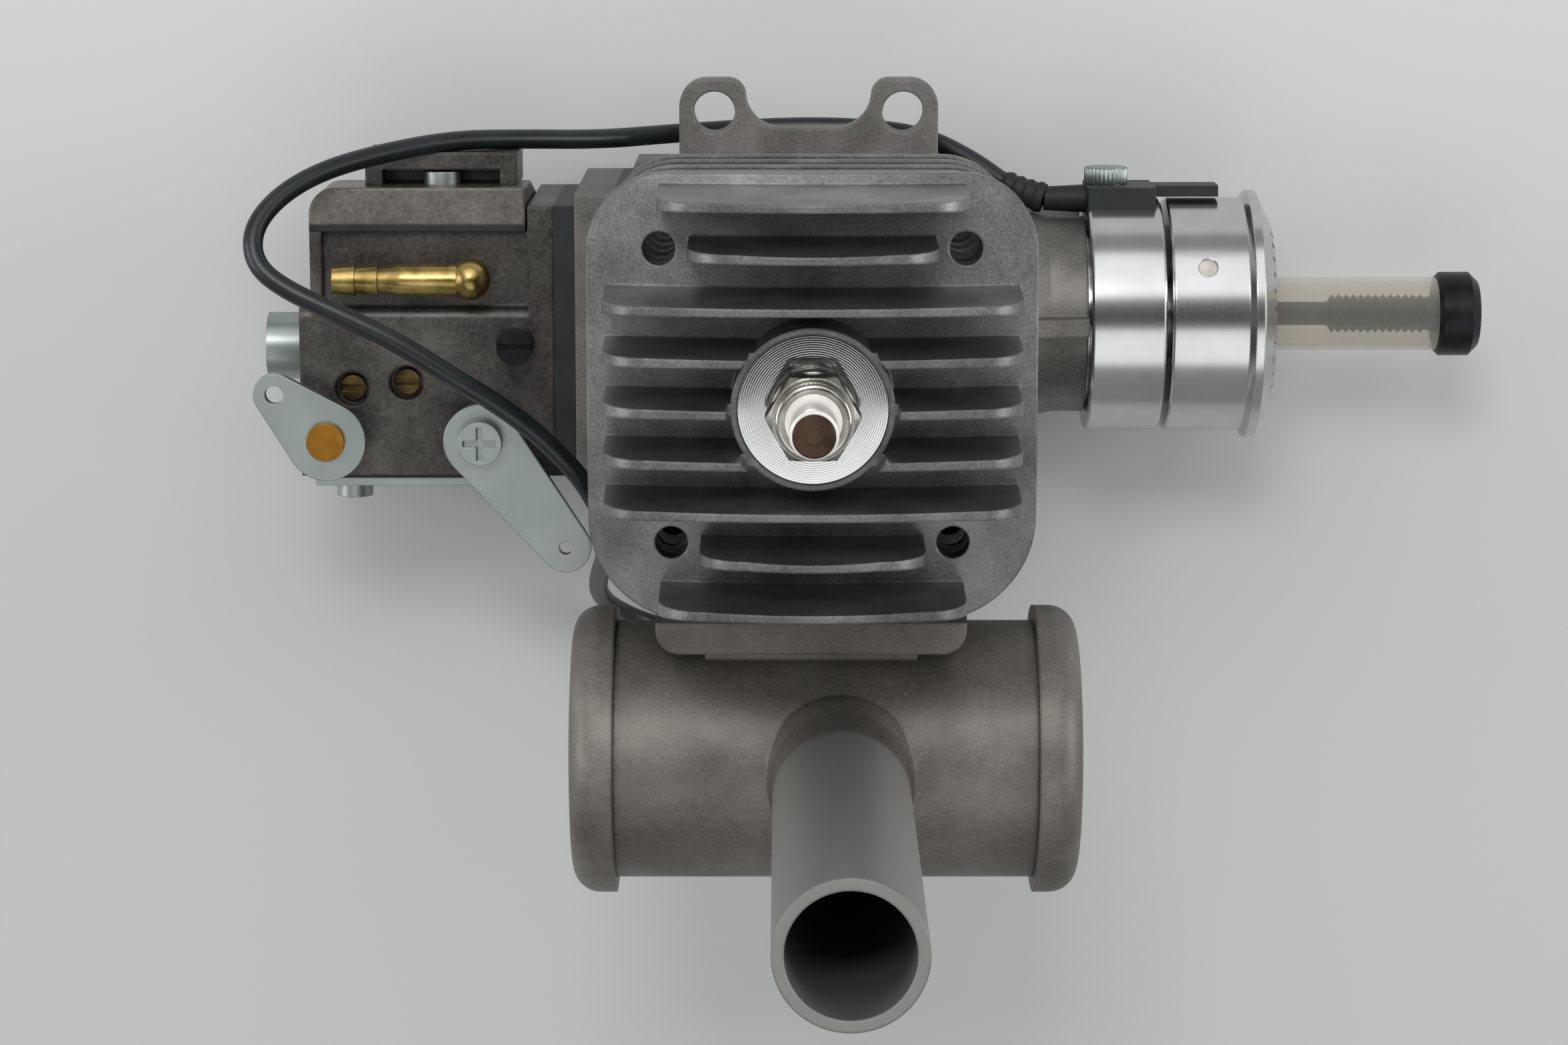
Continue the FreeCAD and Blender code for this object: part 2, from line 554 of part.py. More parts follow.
def rounded_slab(half_x, half_y, z0, z1, radius_plus, radius_minus):
    """A plate with rounded corners: one radius on the +Y side, one on the -Y side."""
    points = []
    for sign_x, sign_y, radius, start in (
        (1, 1, radius_plus, 0),
        (-1, 1, radius_plus, 90),
        (-1, -1, radius_minus, 180),
        (1, -1, radius_minus, 270),
    ):
        centre = Vector(sign_x * (half_x - radius), sign_y * (half_y - radius), z0)
        points.append((centre, radius, start))
    edges = []
    ends = []
    for centre, radius, start in points:
        arc_points = []
        for angle in (start, start + 45, start + 90):
            a = math.radians(angle)
            arc_points.append(centre + Vector(radius * math.cos(a), radius * math.sin(a), 0))
        ends.append((arc_points[0], arc_points[2]))
        edges.append(Part.Arc(*arc_points).toShape())
    for k in range(4):
        edges.append(Part.LineSegment(ends[k][1], ends[(k + 1) % 4][0]).toShape())
    wire = Part.Wire(Part.__sortEdges__(edges))
    return Part.Face(wire).extrude(Vector(0, 0, z1 - z0))


def upright_block(x0, x1, half_width, z0, z1, radius):
    """A block along X whose two lower edges are rounded."""
    block = box(x0, x1, -half_width, half_width, z0, z1)
    edges = []
    for edge in block.Edges:
        middle = edge.CenterOfMass
        along_x = abs(edge.tangentAt(edge.FirstParameter).x) > 0.9
        if along_x and middle.z < z0 + radius / 2:
            edges.append(edge)
    return block.makeFillet(radius, edges)


def front_round(side):
    """What a rounded upright corner of the case takes off its block."""
    r = CASE_FRONT_ROUND
    y = side * CASE_HALF_WIDTH
    corner = box(CASE_FRONT_X - r, CASE_FRONT_X + SKIN, min(y - side * r, y + side * SKIN),
                 max(y - side * r, y + side * SKIN), CASE_BOTTOM_Z - SKIN, DECK_Z - DECK_THICKNESS)
    return corner.cut(rod_z(CASE_BOTTOM_Z - 2 * SKIN, DECK_Z, r, CASE_FRONT_X - r, y - side * r))


def edges_along_z(shape, keep):
    """The edges parallel to Z whose middle passes a test."""
    found = []
    for edge in shape.Edges:
        if abs(edge.tangentAt(edge.FirstParameter).z) > 0.9 and keep(edge.CenterOfMass):
            found.append(edge)
    return found


# ---- crankcase -----------------------------------------------------------
def lug(side):
    """A mounting lug with two ears, a rounded hollow between them and a hole in each ear."""
    half = LUG_THICKNESS / 2
    plate = box(-LUG_HALF_LENGTH, LUG_HALF_LENGTH, CASE_HALF_WIDTH - CASE_WALL, LUG_REACH, -half, half)
    plate = plate.makeFillet(LUG_CORNER_RADIUS, edges_along_z(plate, lambda m: m.y > LUG_REACH - SKIN / 2))
    scoop = rounded_slab(LUG_SCOOP_HALF_X, LUG_SCOOP_DEPTH, -LUG_THICKNESS, LUG_THICKNESS,
                         LUG_SCOOP_ROUND, LUG_SCOOP_ROUND)
    plate = plate.cut(moved(scoop, 0, LUG_REACH))
    ears = edges_along_z(plate, lambda m: m.y > LUG_REACH - SKIN / 2)
    ears = [edge for edge in ears if abs(edge.CenterOfMass.x) < LUG_SCOOP_HALF_X + SKIN / 2]
    plate = plate.makeFillet(LUG_EAR_ROUND, ears)
    for sign in (1, -1):
        plate = plate.cut(rod_z(-LUG_THICKNESS, LUG_THICKNESS, LUG_HOLE_RADIUS, sign * LUG_HOLE_HALF_X,
                                LUG_HOLE_HALF_Y))
    if side < 0:
        plate = plate.mirror(ORIGIN, Y_DIR)
    return plate


def nose():
    """The bearing nose: a flared cone with ribs, the first of them on top."""
    cone = revolve_x([(CASE_FRONT_X - SKIN, 0), (CASE_FRONT_X - SKIN, NOSE_ROOT_RADIUS),
                      (CASE_FRONT_X + NOSE_FLARE, NOSE_TIP_RADIUS + NOSE_RIB_RISE),
                      (NOSE_END_X - NOSE_NECK, NOSE_TIP_RADIUS), (NOSE_END_X, NOSE_TIP_RADIUS),
                      (NOSE_END_X, 0)])
    shapes = [cone]
    rib = outline_prism([(CASE_FRONT_X - SKIN, 0), (CASE_FRONT_X - SKIN, NOSE_ROOT_RADIUS),
                         (NOSE_END_X, NOSE_TIP_RADIUS + NOSE_RIB_RISE), (NOSE_END_X, 0)],
                        -NOSE_RIB_THICKNESS / 2, NOSE_RIB_THICKNESS)
    for k in range(NOSE_RIB_COUNT):
        shapes.append(turned(rib, 90 + 360 * k / NOSE_RIB_COUNT, X_DIR))
    return fuse_all(shapes)


def crankcase():
    block = upright_block(CASE_REAR_X, CASE_FRONT_X, CASE_HALF_WIDTH, CASE_BOTTOM_Z,
                          DECK_Z - DECK_THICKNESS + SKIN, CASE_CORNER_RADIUS)
    deck = rounded_slab(DECK_HALF_X, DECK_HALF_Y, DECK_Z - DECK_THICKNESS, DECK_Z,
                        DECK_CORNER_RADIUS, DECK_CORNER_RADIUS)
    block = cut_all(block, [front_round(1), front_round(-1)])
    solid = fuse_all([block, deck, nose(), lug(1), lug(-1)])
    chamber = upright_block(CASE_REAR_X + CASE_REAR_WALL, WEB_FRONT_X + SKIN / 2, CHAMBER_HALF_WIDTH,
                            CASE_BOTTOM_Z + CASE_FLOOR, DECK_Z - DECK_THICKNESS - BODY_GAP,
                            CASE_CORNER_RADIUS - CASE_WALL)
    liner_hole = rod_z(0, DECK_Z + SKIN, BORE_RADIUS + LINER_WALL + SEAT_GAP)
    bearing_seat = rod_x(WEB_FRONT_X, REAR_BEARING_X + REAR_BEARING_WIDTH,
                         REAR_BEARING_RADIUS + SEAT_GAP)
    shaft_tunnel = rod_x(WEB_FRONT_X, NOSE_END_X + SKIN, SHAFT_RADIUS + RACE_THICKNESS)
    spigot = rod_x(NOSE_END_X - SEAL_WIDTH, NOSE_END_X + SKIN, FRONT_BEARING_RADIUS)
    window = box(CASE_REAR_X - SKIN, CASE_REAR_X + CASE_REAR_WALL + SKIN, INTAKE_WINDOW_LOW_Y,
                 INTAKE_WINDOW_HIGH_Y, -INTAKE_WINDOW_HALF_Z, INTAKE_WINDOW_HALF_Z)
    tools = [chamber, window, liner_hole, bearing_seat, shaft_tunnel, spigot]
    for x, y in BOLT_PLACES:
        tools.append(rod_z(DECK_Z - BOLT_GRIP, DECK_Z + SKIN, BOLT_RADIUS + SEAT_GAP, x, y))
    for y, z in INTAKE_SCREWS:
        tools.append(rod_x(CASE_REAR_X - SKIN, CASE_REAR_X + INTAKE_SCREW_GRIP,
                           INTAKE_SCREW_RADIUS + SEAT_GAP, y, z))
    return cut_all(solid, tools)


def nose_ring():
    tunnel = SHAFT_RADIUS + RACE_THICKNESS
    ring = revolve_x([(RING_START_X, tunnel), (RING_START_X, RING_RADIUS - RING_BREAK),
                      (RING_START_X + RING_BREAK, RING_RADIUS), (RING_END_X - RING_BREAK, RING_RADIUS),
                      (RING_END_X, RING_RADIUS - RING_BREAK), (RING_END_X, tunnel)])
    spigot = tube_x(NOSE_END_X - SEAL_WIDTH + SKIN, RING_START_X + SKIN,
                    FRONT_BEARING_RADIUS - SEAT_GAP, tunnel)
    ring = fuse_all([ring, spigot])
    seat = rod_x(FRONT_BEARING_X, RING_END_X + SKIN, FRONT_BEARING_RADIUS + SEAT_GAP)
    flat = box(RING_START_X - SKIN, SENSOR_END_X + SEAT_GAP, SENSOR_SEAT_Y, RING_RADIUS + SKIN,
               -SENSOR_HALF_Z - SEAT_GAP, SENSOR_HALF_Z + SEAT_GAP)
    screw = rod_y(FRONT_BEARING_RADIUS, SENSOR_SEAT_Y + SKIN, SENSOR_SCREW_RADIUS + SEAT_GAP,
                  SENSOR_SCREW_X)
    return cut_all(ring, [seat, flat, screw])


# ---- cylinder ------------------------------------------------------------
def head_fin(row):
    """One upright fin of the head: crowned, rounded at its ends, thinner at its tip."""
    y = row * HEAD_FIN_PITCH
    outermost = (HEAD_FIN_COUNT - 1) // 2
    if abs(row) == outermost:
        half = FIN_LENGTH_X / 2 - FIN_CORNER_PLUG + SKIN / 2
    elif abs(row) == outermost - 1:
        hole_x = BOLT_WIDE_HALF_X if row > 0 else BOLT_NARROW_HALF_X
        half = hole_x - ACCESS_HOLE_RADIUS - HOLE_MARGIN
    else:
        half = FIN_LENGTH_X / 2 - HEAD_FIN_MARGIN
    foot_z = HEAD_EDGE_Z - SKIN
    end_z = FIN_TIP_Z - HEAD_FIN_CROWN
    r = HEAD_FIN_END_RADIUS
    bend = r * (1 - math.sqrt(0.5))
    left_foot = Vector(-half, 0, foot_z)
    left_top = Vector(-half, 0, end_z - r)
    left_bend = Vector(-half + bend, 0, end_z - bend)
    left_crown = Vector(-half + r, 0, end_z)
    right_crown = Vector(half - r, 0, end_z)
    right_bend = Vector(half - bend, 0, end_z - bend)
    right_top = Vector(half, 0, end_z - r)
    right_foot = Vector(half, 0, foot_z)
    wire = Part.Wire([
        Part.LineSegment(left_foot, left_top).toShape(),
        Part.Arc(left_top, left_bend, left_crown).toShape(),
        Part.Arc(left_crown, Vector(0, 0, FIN_TIP_Z), right_crown).toShape(),
        Part.Arc(right_crown, right_bend, right_top).toShape(),
        Part.LineSegment(right_top, right_foot).toShape(),
        Part.LineSegment(right_foot, left_foot).toShape(),
    ])
    sheet = Part.Face(wire).extrude(Vector(0, HEAD_FIN_ROOT, 0))
    sheet.translate(Vector(0, -HEAD_FIN_ROOT / 2, 0))
    section = [Vector(-half - SKIN, -HEAD_FIN_ROOT / 2, foot_z),
               Vector(-half - SKIN, -HEAD_FIN_TIP / 2, FIN_TIP_Z),
               Vector(-half - SKIN, HEAD_FIN_TIP / 2, FIN_TIP_Z),
               Vector(-half - SKIN, HEAD_FIN_ROOT / 2, foot_z)]
    wedge = Part.Face(Part.makePolygon(section + section[:1])).extrude(Vector(2 * half + 2 * SKIN, 0, 0))
    return moved(sheet.common(wedge), 0, y, 0)


def head_plate():
    slab = rounded_slab(FIN_LENGTH_X / 2, FIN_LENGTH_Y / 2, HEAD_EDGE_Z - HEAD_PLATE_THICKNESS,
                        HEAD_EDGE_Z + HEAD_DOME_RISE + SKIN, FIN_CORNER_PLUG, FIN_CORNER_EXHAUST)
    slab = moved(slab, 0, FIN_SHIFT_Y)
    dome = Part.makeSphere(HEAD_DOME_RADIUS,
                           Vector(0, 0, HEAD_EDGE_Z + HEAD_DOME_RISE - HEAD_DOME_RADIUS))
    return slab.common(dome)


def barrel_fin(z):
    fin = rounded_slab(FIN_LENGTH_X / 2 - BARREL_FIN_INSET, FIN_LENGTH_Y / 2 - BARREL_FIN_INSET,
                       z - BARREL_FIN_THICKNESS, z, FIN_CORNER_PLUG, FIN_CORNER_EXHAUST)
    return moved(fin, 0, FIN_SHIFT_Y)


def combustion_space():
    sphere_radius = (CHAMBER_RADIUS ** 2 + CHAMBER_HEIGHT ** 2) / (2 * CHAMBER_HEIGHT)
    bore = rod_z(DECK_Z - LINER_DROP - SKIN, ROOF_Z, BORE_RADIUS)
    dome = Part.makeSphere(sphere_radius, Vector(0, 0, CHAMBER_TOP_Z - sphere_radius))
    upper = box(-BORE, BORE, -BORE, BORE, ROOF_Z - SKIN, CHAMBER_TOP_Z + SKIN)
    return bore.fuse(dome.common(upper))


def cylinder():
    shapes = [rounded_slab(DECK_HALF_X, DECK_HALF_Y, BASE_Z, BARREL_Z, DECK_CORNER_RADIUS,
                           DECK_CORNER_RADIUS),
              rod_z(DECK_Z - LINER_DROP, BASE_Z + SKIN, BORE_RADIUS + LINER_WALL),
              rod_z(BASE_Z, HEAD_EDGE_Z, BARREL_RADIUS),
              rod_z(HEAD_EDGE_Z - SKIN, PLUG_SEAT_Z + SPOTFACE_DEPTH, PLUG_BOSS_RADIUS),
              head_plate(),
              box(-EXHAUST_BOSS_HALF_X, EXHAUST_BOSS_HALF_X, EXHAUST_FACE_Y, 0,
                  EXHAUST_Z - EXHAUST_BOSS_HALF_Z, EXHAUST_Z + EXHAUST_BOSS_HALF_Z)]
    for sign in (1, -1):
        channel_x = BARREL_RADIUS + TRANSFER_DEPTH
        shapes.append(box(min(0, sign * channel_x), max(0, sign * channel_x),
                          -TRANSFER_HALF_WIDTH - TRANSFER_WALL, TRANSFER_HALF_WIDTH + TRANSFER_WALL,
                          BASE_Z, PIN_Z + SKIN))
    for k in range(BARREL_FIN_COUNT):
        shapes.append(barrel_fin(HEAD_EDGE_Z - (k + 1) * BARREL_FIN_PITCH))
    half_rows = (HEAD_FIN_COUNT - 1) // 2
    for row in range(-half_rows, half_rows + 1):
        shapes.append(head_fin(row))
    solid = fuse_all(shapes)
    tools = [combustion_space(),
             rod_z(CHAMBER_TOP_Z - SKIN, PLUG_SEAT_Z + SKIN, PLUG_THREAD_RADIUS + SEAT_GAP),
             rod_z(PLUG_SEAT_Z, PLUG_SEAT_Z + SPOTFACE_DEPTH + SKIN, SPOTFACE_RADIUS),
             rod_z(PLUG_SEAT_Z + SPOTFACE_DEPTH, FIN_TIP_Z + SKIN, PLUG_BOSS_RADIUS + SPOTFACE_CLEARANCE),
             box(-PORT_HALF_WIDTH, PORT_HALF_WIDTH, EXHAUST_FACE_Y - SKIN, -BORE_RADIUS / 2,
                 EXHAUST_Z - PORT_HEIGHT / 2, EXHAUST_Z + PORT_HEIGHT / 2)]
    for sign in (1, -1):
        inner = sign * (BORE_RADIUS - SKIN)
        outer = sign * (BARREL_RADIUS + TRANSFER_DEPTH - TRANSFER_WALL)
        tools.append(box(min(inner, outer), max(inner, outer), -TRANSFER_HALF_WIDTH, TRANSFER_HALF_WIDTH,
                         BARREL_Z + SKIN, PIN_Z - SKIN))
        tools.append(rod_y(EXHAUST_FACE_Y - SKIN, EXHAUST_FACE_Y + MUFFLER_SCREW_GRIP,
                           MUFFLER_SCREW_RADIUS + SEAT_GAP, sign * MUFFLER_SCREW_HALF_SPACING, EXHAUST_Z))
    for x, y in BOLT_PLACES:
        tools.append(rod_z(BASE_Z - SKIN, BARREL_Z + SKIN, BOLT_RADIUS + HOLE_GAP, x, y))
        tools.append(rod_z(BARREL_Z + BOLT_HEAD_HEIGHT + BODY_GAP, HEAD_EDGE_Z + HEAD_DOME_RISE + SKIN,
                           ACCESS_HOLE_RADIUS, x, y))
    return cut_all(solid, tools)


def base_gasket():
    sheet = rounded_slab(DECK_HALF_X, DECK_HALF_Y, DECK_Z, BASE_Z, DECK_CORNER_RADIUS, DECK_CORNER_RADIUS)
    tools = [rod_z(DECK_Z - SKIN, BASE_Z + SKIN, BORE_RADIUS + LINER_WALL + SEAT_GAP)]
    for x, y in BOLT_PLACES:
        tools.append(rod_z(DECK_Z - SKIN, BASE_Z + SKIN, BOLT_RADIUS + HOLE_GAP, x, y))
    return cut_all(sheet, tools)


def cap_screw_z(seat_z, x, y):
    """A socket cap screw standing head up on a seat."""
    head = rod_z(seat_z, seat_z + BOLT_HEAD_HEIGHT, BOLT_HEAD_RADIUS, x, y)
    shank = rod_z(seat_z - BOLT_LENGTH, seat_z + SKIN, BOLT_RADIUS, x, y)
    socket = hexagon(HEX_SOCKET_FLATS, seat_z + BOLT_HEAD_HEIGHT - HEX_SOCKET_DEPTH,
                     seat_z + BOLT_HEAD_HEIGHT + SKIN, x, y)
    return head.fuse(shank).cut(socket)


def cylinder_bolts():
    return Part.makeCompound([cap_screw_z(BARREL_Z, x, y) for x, y in BOLT_PLACES])


# ---- bearings ------------------------------------------------------------
def race_pair(start_x, width, inner_radius, outer_radius, ball_radius):
    pitch = (inner_radius + outer_radius) / 2
    groove = Part.makeTorus(pitch, ball_radius + RUNNING_FIT, Vector(start_x + width / 2, 0, 0), X_DIR)
    inner = tube_x(start_x, start_x + width, pitch - RACE_LAND, inner_radius)
    outer = tube_x(start_x, start_x + width, outer_radius, pitch + RACE_LAND)
    return inner.cut(groove), outer.cut(groove)


def rear_races():
    return race_pair(REAR_BEARING_X, REAR_BEARING_WIDTH, JOURNAL_RADIUS, REAR_BEARING_RADIUS,
                     REAR_BALL_RADIUS)


def front_races():
    return race_pair(FRONT_BEARING_X, FRONT_BEARING_WIDTH, SHAFT_RADIUS, FRONT_BEARING_RADIUS,
                     FRONT_BALL_RADIUS)


def bearing_inner_races():
    return Part.makeCompound([rear_races()[0], front_races()[0]])


def bearing_outer_races():
    return Part.makeCompound([rear_races()[1], front_races()[1]])


def ball_ring(middle_x, pitch, radius, count):
    balls = []
    for k in range(count):
        angle = 2 * math.pi * k / count
        centre = Vector(middle_x, pitch * math.cos(angle), pitch * math.sin(angle))
        balls.append(Part.makeSphere(radius, centre))
    return balls


def bearing_balls():
    rear = ball_ring(REAR_BEARING_X + REAR_BEARING_WIDTH / 2, (JOURNAL_RADIUS + REAR_BEARING_RADIUS) / 2,
                     REAR_BALL_RADIUS, REAR_BALL_COUNT)
    front = ball_ring(FRONT_BEARING_X + FRONT_BEARING_WIDTH / 2, (SHAFT_RADIUS + FRONT_BEARING_RADIUS) / 2,
                      FRONT_BALL_RADIUS, FRONT_BALL_COUNT)
    return Part.makeCompound(rear + front)


def shaft_seal():
    start = NOSE_END_X - SEAL_WIDTH - 3 * SKIN
    return tube_x(start, start + SEAL_WIDTH, SHAFT_RADIUS + RACE_THICKNESS - SEAT_GAP,
                  SHAFT_RADIUS + RUNNING_FIT)


# ---- crank body ----------------------------------------------------------
def crank_web():
    disc = rod_x(WEB_REAR_X, WEB_FRONT_X, WEB_RADIUS)
    waist = WEB_RADIUS + SKIN
    for sign in (1, -1):
        notch = box(WEB_REAR_X - SKIN, WEB_FRONT_X + SKIN, min(sign * WEB_CHEEK_RADIUS, sign * waist),
                    max(sign * WEB_CHEEK_RADIUS, sign * waist), 0, waist)
        disc = disc.cut(notch)
    return disc


def crankshaft():
    journal_end = REAR_BEARING_X + REAR_BEARING_WIDTH
    taper_end = DRIVER_END_X - TAPER_SINK
    journal = revolve_x([(WEB_FRONT_X - SKIN, 0), (WEB_FRONT_X - SKIN, JOURNAL_RADIUS + SKIN),
                         (REAR_BEARING_X, JOURNAL_RADIUS + SKIN),
                         (REAR_BEARING_X, JOURNAL_RADIUS - SEAT_GAP),
                         (journal_end, JOURNAL_RADIUS - SEAT_GAP),
                         (journal_end + 2 * SKIN, SHAFT_RADIUS - SEAT_GAP),
                         (DRIVER_START_X, SHAFT_RADIUS - SEAT_GAP),
                         (taper_end, STUB_RADIUS + SKIN), (taper_end, STUB_RADIUS),
                         (STUB_END_X - EDGE_BREAK, STUB_RADIUS), (STUB_END_X, STUB_RADIUS - EDGE_BREAK),
                         (STUB_END_X, 0)])
    tapped = rod_x(PROP_BOLT_TIP_X - SKIN, STUB_END_X + SKIN, PROP_BOLT_PILOT_RADIUS + SEAT_GAP)
    return crank_web().fuse(journal).cut(tapped)


def prop_driver():
    """The drive hub: a drum, a lip that slopes to a serrated face, and a seat for the sleeve."""
    lip_end = DRIVER_LIP_X + DRIVER_LIP_STEP + DRIVER_LIP_EDGE
    body = revolve_x([(DRIVER_START_X, SHAFT_RADIUS), (DRIVER_START_X, RING_RADIUS - RING_BREAK),
                      (DRIVER_START_X + RING_BREAK, RING_RADIUS), (DRIVER_LIP_X, RING_RADIUS),
                      (DRIVER_LIP_X + DRIVER_LIP_STEP, DRIVER_LIP_RADIUS), (lip_end, DRIVER_LIP_RADIUS),
                      (DRIVER_END_X, DRIVER_FACE_RADIUS), (DRIVER_END_X, DRIVER_RECESS_RADIUS),
                      (DRIVER_RECESS_X, DRIVER_RECESS_RADIUS), (DRIVER_RECESS_X, DRIVER_BORE_RADIUS),
                      (DRIVER_END_X - TAPER_SINK, DRIVER_BORE_RADIUS)])
    tools = [magnet_pocket(SEAT_GAP)]
    for k in range(SERRATION_COUNT):
        cutter = box(DRIVER_END_X - SERRATION_DEPTH, DRIVER_END_X + SKIN, -SERRATION_WIDTH / 2,
                     SERRATION_WIDTH / 2, DRIVER_RECESS_RADIUS + SKIN, DRIVER_LIP_RADIUS + SKIN)
        tools.append(turned(cutter, 360 * k / SERRATION_COUNT, X_DIR))
    return body.cut(Part.makeCompound(tools))


def magnet_pocket(gap):
    slug = rod_y(RING_RADIUS - MAGNET_DEPTH, RING_RADIUS + SKIN, MAGNET_RADIUS + gap, MAGNET_X)
    return turned(slug, MAGNET_ANGLE, X_DIR)


def timing_magnet():
    slug = rod_y(RING_RADIUS - MAGNET_DEPTH + SEAT_GAP, RING_RADIUS - MAGNET_SINK, MAGNET_RADIUS, MAGNET_X)
    return turned(slug, MAGNET_ANGLE, X_DIR)


def prop_bolt():
    """The propeller bolt: bare pilot, ringed thread, round head with a hexagon socket."""
    x = PROP_BOLT_HEAD_X - PROP_BOLT_THREAD_LENGTH
    profile = [(PROP_BOLT_TIP_X, 0), (PROP_BOLT_TIP_X, PROP_BOLT_PILOT_RADIUS),
               (x - PROP_BOLT_TIP_BREAK, PROP_BOLT_PILOT_RADIUS)]
    while x < PROP_BOLT_HEAD_X - PROP_BOLT_PITCH:
        profile.append((x, PROP_BOLT_RADIUS))
        profile.append((x + PROP_BOLT_PITCH / 2, PROP_BOLT_RADIUS - PROP_BOLT_GROOVE))
        x += PROP_BOLT_PITCH
    head_end = PROP_BOLT_HEAD_X + PROP_BOLT_HEAD_HEIGHT
    profile += [(PROP_BOLT_HEAD_X, PROP_BOLT_RADIUS),
                (PROP_BOLT_HEAD_X, PROP_BOLT_HEAD_RADIUS - EDGE_BREAK),
                (PROP_BOLT_HEAD_X + EDGE_BREAK, PROP_BOLT_HEAD_RADIUS),
                (head_end - PROP_BOLT_HEAD_ROUND, PROP_BOLT_HEAD_RADIUS),
                (head_end, PROP_BOLT_HEAD_RADIUS - PROP_BOLT_HEAD_ROUND), (head_end, 0)]
    socket = hexagon(PROP_BOLT_SOCKET_FLATS, head_end - PROP_BOLT_SOCKET_DEPTH, head_end + SKIN)
    return revolve_x(profile).cut(turned(socket, 90, Y_DIR))


def bolt_sleeve():
    return tube_x(DRIVER_RECESS_X + SEAT_GAP, PROP_BOLT_HEAD_X - SEAT_GAP, SLEEVE_RADIUS,
                  SLEEVE_RADIUS - SLEEVE_WALL)


# ---- piston and rod ------------------------------------------------------
def piston():
    radius = BORE_RADIUS - RUNNING_FIT
    bottom = PIN_Z - SKIRT_DROP
    body = rod_z(bottom, CROWN_Z, radius)
    cavity = rod_z(bottom - SKIN, CROWN_Z - CROWN_THICKNESS, radius - SKIRT_WALL)
    bosses = rod_x(-radius, radius, PIN_BOSS_RADIUS, 0, PIN_Z).common(rod_z(bottom, CROWN_Z, radius - SKIN))
    eye_room = box(-ROD_WIDTH / 2 - BODY_GAP * 3, ROD_WIDTH / 2 + BODY_GAP * 3, -BORE, BORE, bottom - SKIN,
                   CROWN_Z - CROWN_THICKNESS)
    body = body.cut(cavity).fuse(bosses.cut(eye_room))
    pin_hole = rod_x(-BORE, BORE, WRIST_PIN_RADIUS + SEAT_GAP, 0, PIN_Z)
    top = CROWN_Z - RING_LAND
    groove = rod_z(top - RING_WIDTH, top, BORE).cut(rod_z(top - RING_WIDTH, top, radius - RING_DEPTH))
    return cut_all(body, [pin_hole, groove])


def piston_ring():
    top = CROWN_Z - RING_LAND - SEAT_GAP
    bottom = CROWN_Z - RING_LAND - RING_WIDTH + SEAT_GAP
    ring = rod_z(bottom, top, BORE_RADIUS - SEAT_GAP)
    ring = ring.cut(rod_z(bottom - SKIN, top + SKIN, BORE_RADIUS - RING_DEPTH + SEAT_GAP))
    return ring.cut(box(-RING_END_GAP / 2, RING_END_GAP / 2, 0, BORE, bottom - SKIN, top + SKIN))


def wrist_pin():
    half = WRIST_PIN_LENGTH / 2
    pin = rod_x(-half, half, WRIST_PIN_RADIUS, 0, PIN_Z)
    return pin.cut(rod_x(-half - SKIN, half + SKIN, WRIST_PIN_RADIUS - WRIST_PIN_WALL, 0, PIN_Z))


def pin_circlips():
    clips = []
    wire = CIRCLIP_WIRE / 2
    for sign in (1, -1):
        middle = sign * (WRIST_PIN_LENGTH / 2 + wire + SEAT_GAP)
        ring = Part.makeTorus(WRIST_PIN_RADIUS - wire, wire, Vector(middle, 0, PIN_Z), X_DIR)
        opening = box(middle - SKIN, middle + SKIN, -CIRCLIP_GAP / 2, CIRCLIP_GAP / 2,
                      PIN_Z - 2 * WRIST_PIN_RADIUS, PIN_Z)
        clips.append(ring.cut(opening))
    return Part.makeCompound(clips)


def connecting_rod():
    half = ROD_WIDTH / 2
    eye_low = rod_x(-half, half, ROD_BIG_RADIUS, 0, THROW)
    eye_high = rod_x(-half, half, ROD_SMALL_RADIUS, 0, PIN_Z)
    shank = box(-ROD_SHANK_WIDTH / 2, ROD_SHANK_WIDTH / 2, -ROD_SHANK_BREADTH / 2, ROD_SHANK_BREADTH / 2,
                THROW, PIN_Z)
    tools = [rod_x(-half - SKIN, half + SKIN, CRANKPIN_RADIUS + SEAT_GAP, 0, THROW),
             rod_x(-half - SKIN, half + SKIN, WRIST_PIN_RADIUS + RUNNING_FIT, 0, PIN_Z)]
    for sign in (1, -1):
        outer = sign * (ROD_SHANK_WIDTH / 2 + SKIN)
        floor = sign * (ROD_SHANK_WIDTH / 2 - ROD_POCKET)
        tools.append(box(min(outer, floor), max(outer, floor), -ROD_SHANK_BREADTH / 4,
                         ROD_SHANK_BREADTH / 4, THROW + ROD_BIG_RADIUS + ROD_POCKET_MARGIN,
                         PIN_Z - ROD_SMALL_RADIUS - ROD_POCKET_MARGIN))
    return cut_all(fuse_all([eye_low, eye_high, shank]), tools)


def crankpin():
    return rod_x(-CRANKPIN_REAR, WEB_REAR_X - BODY_GAP, CRANKPIN_RADIUS, 0, THROW)


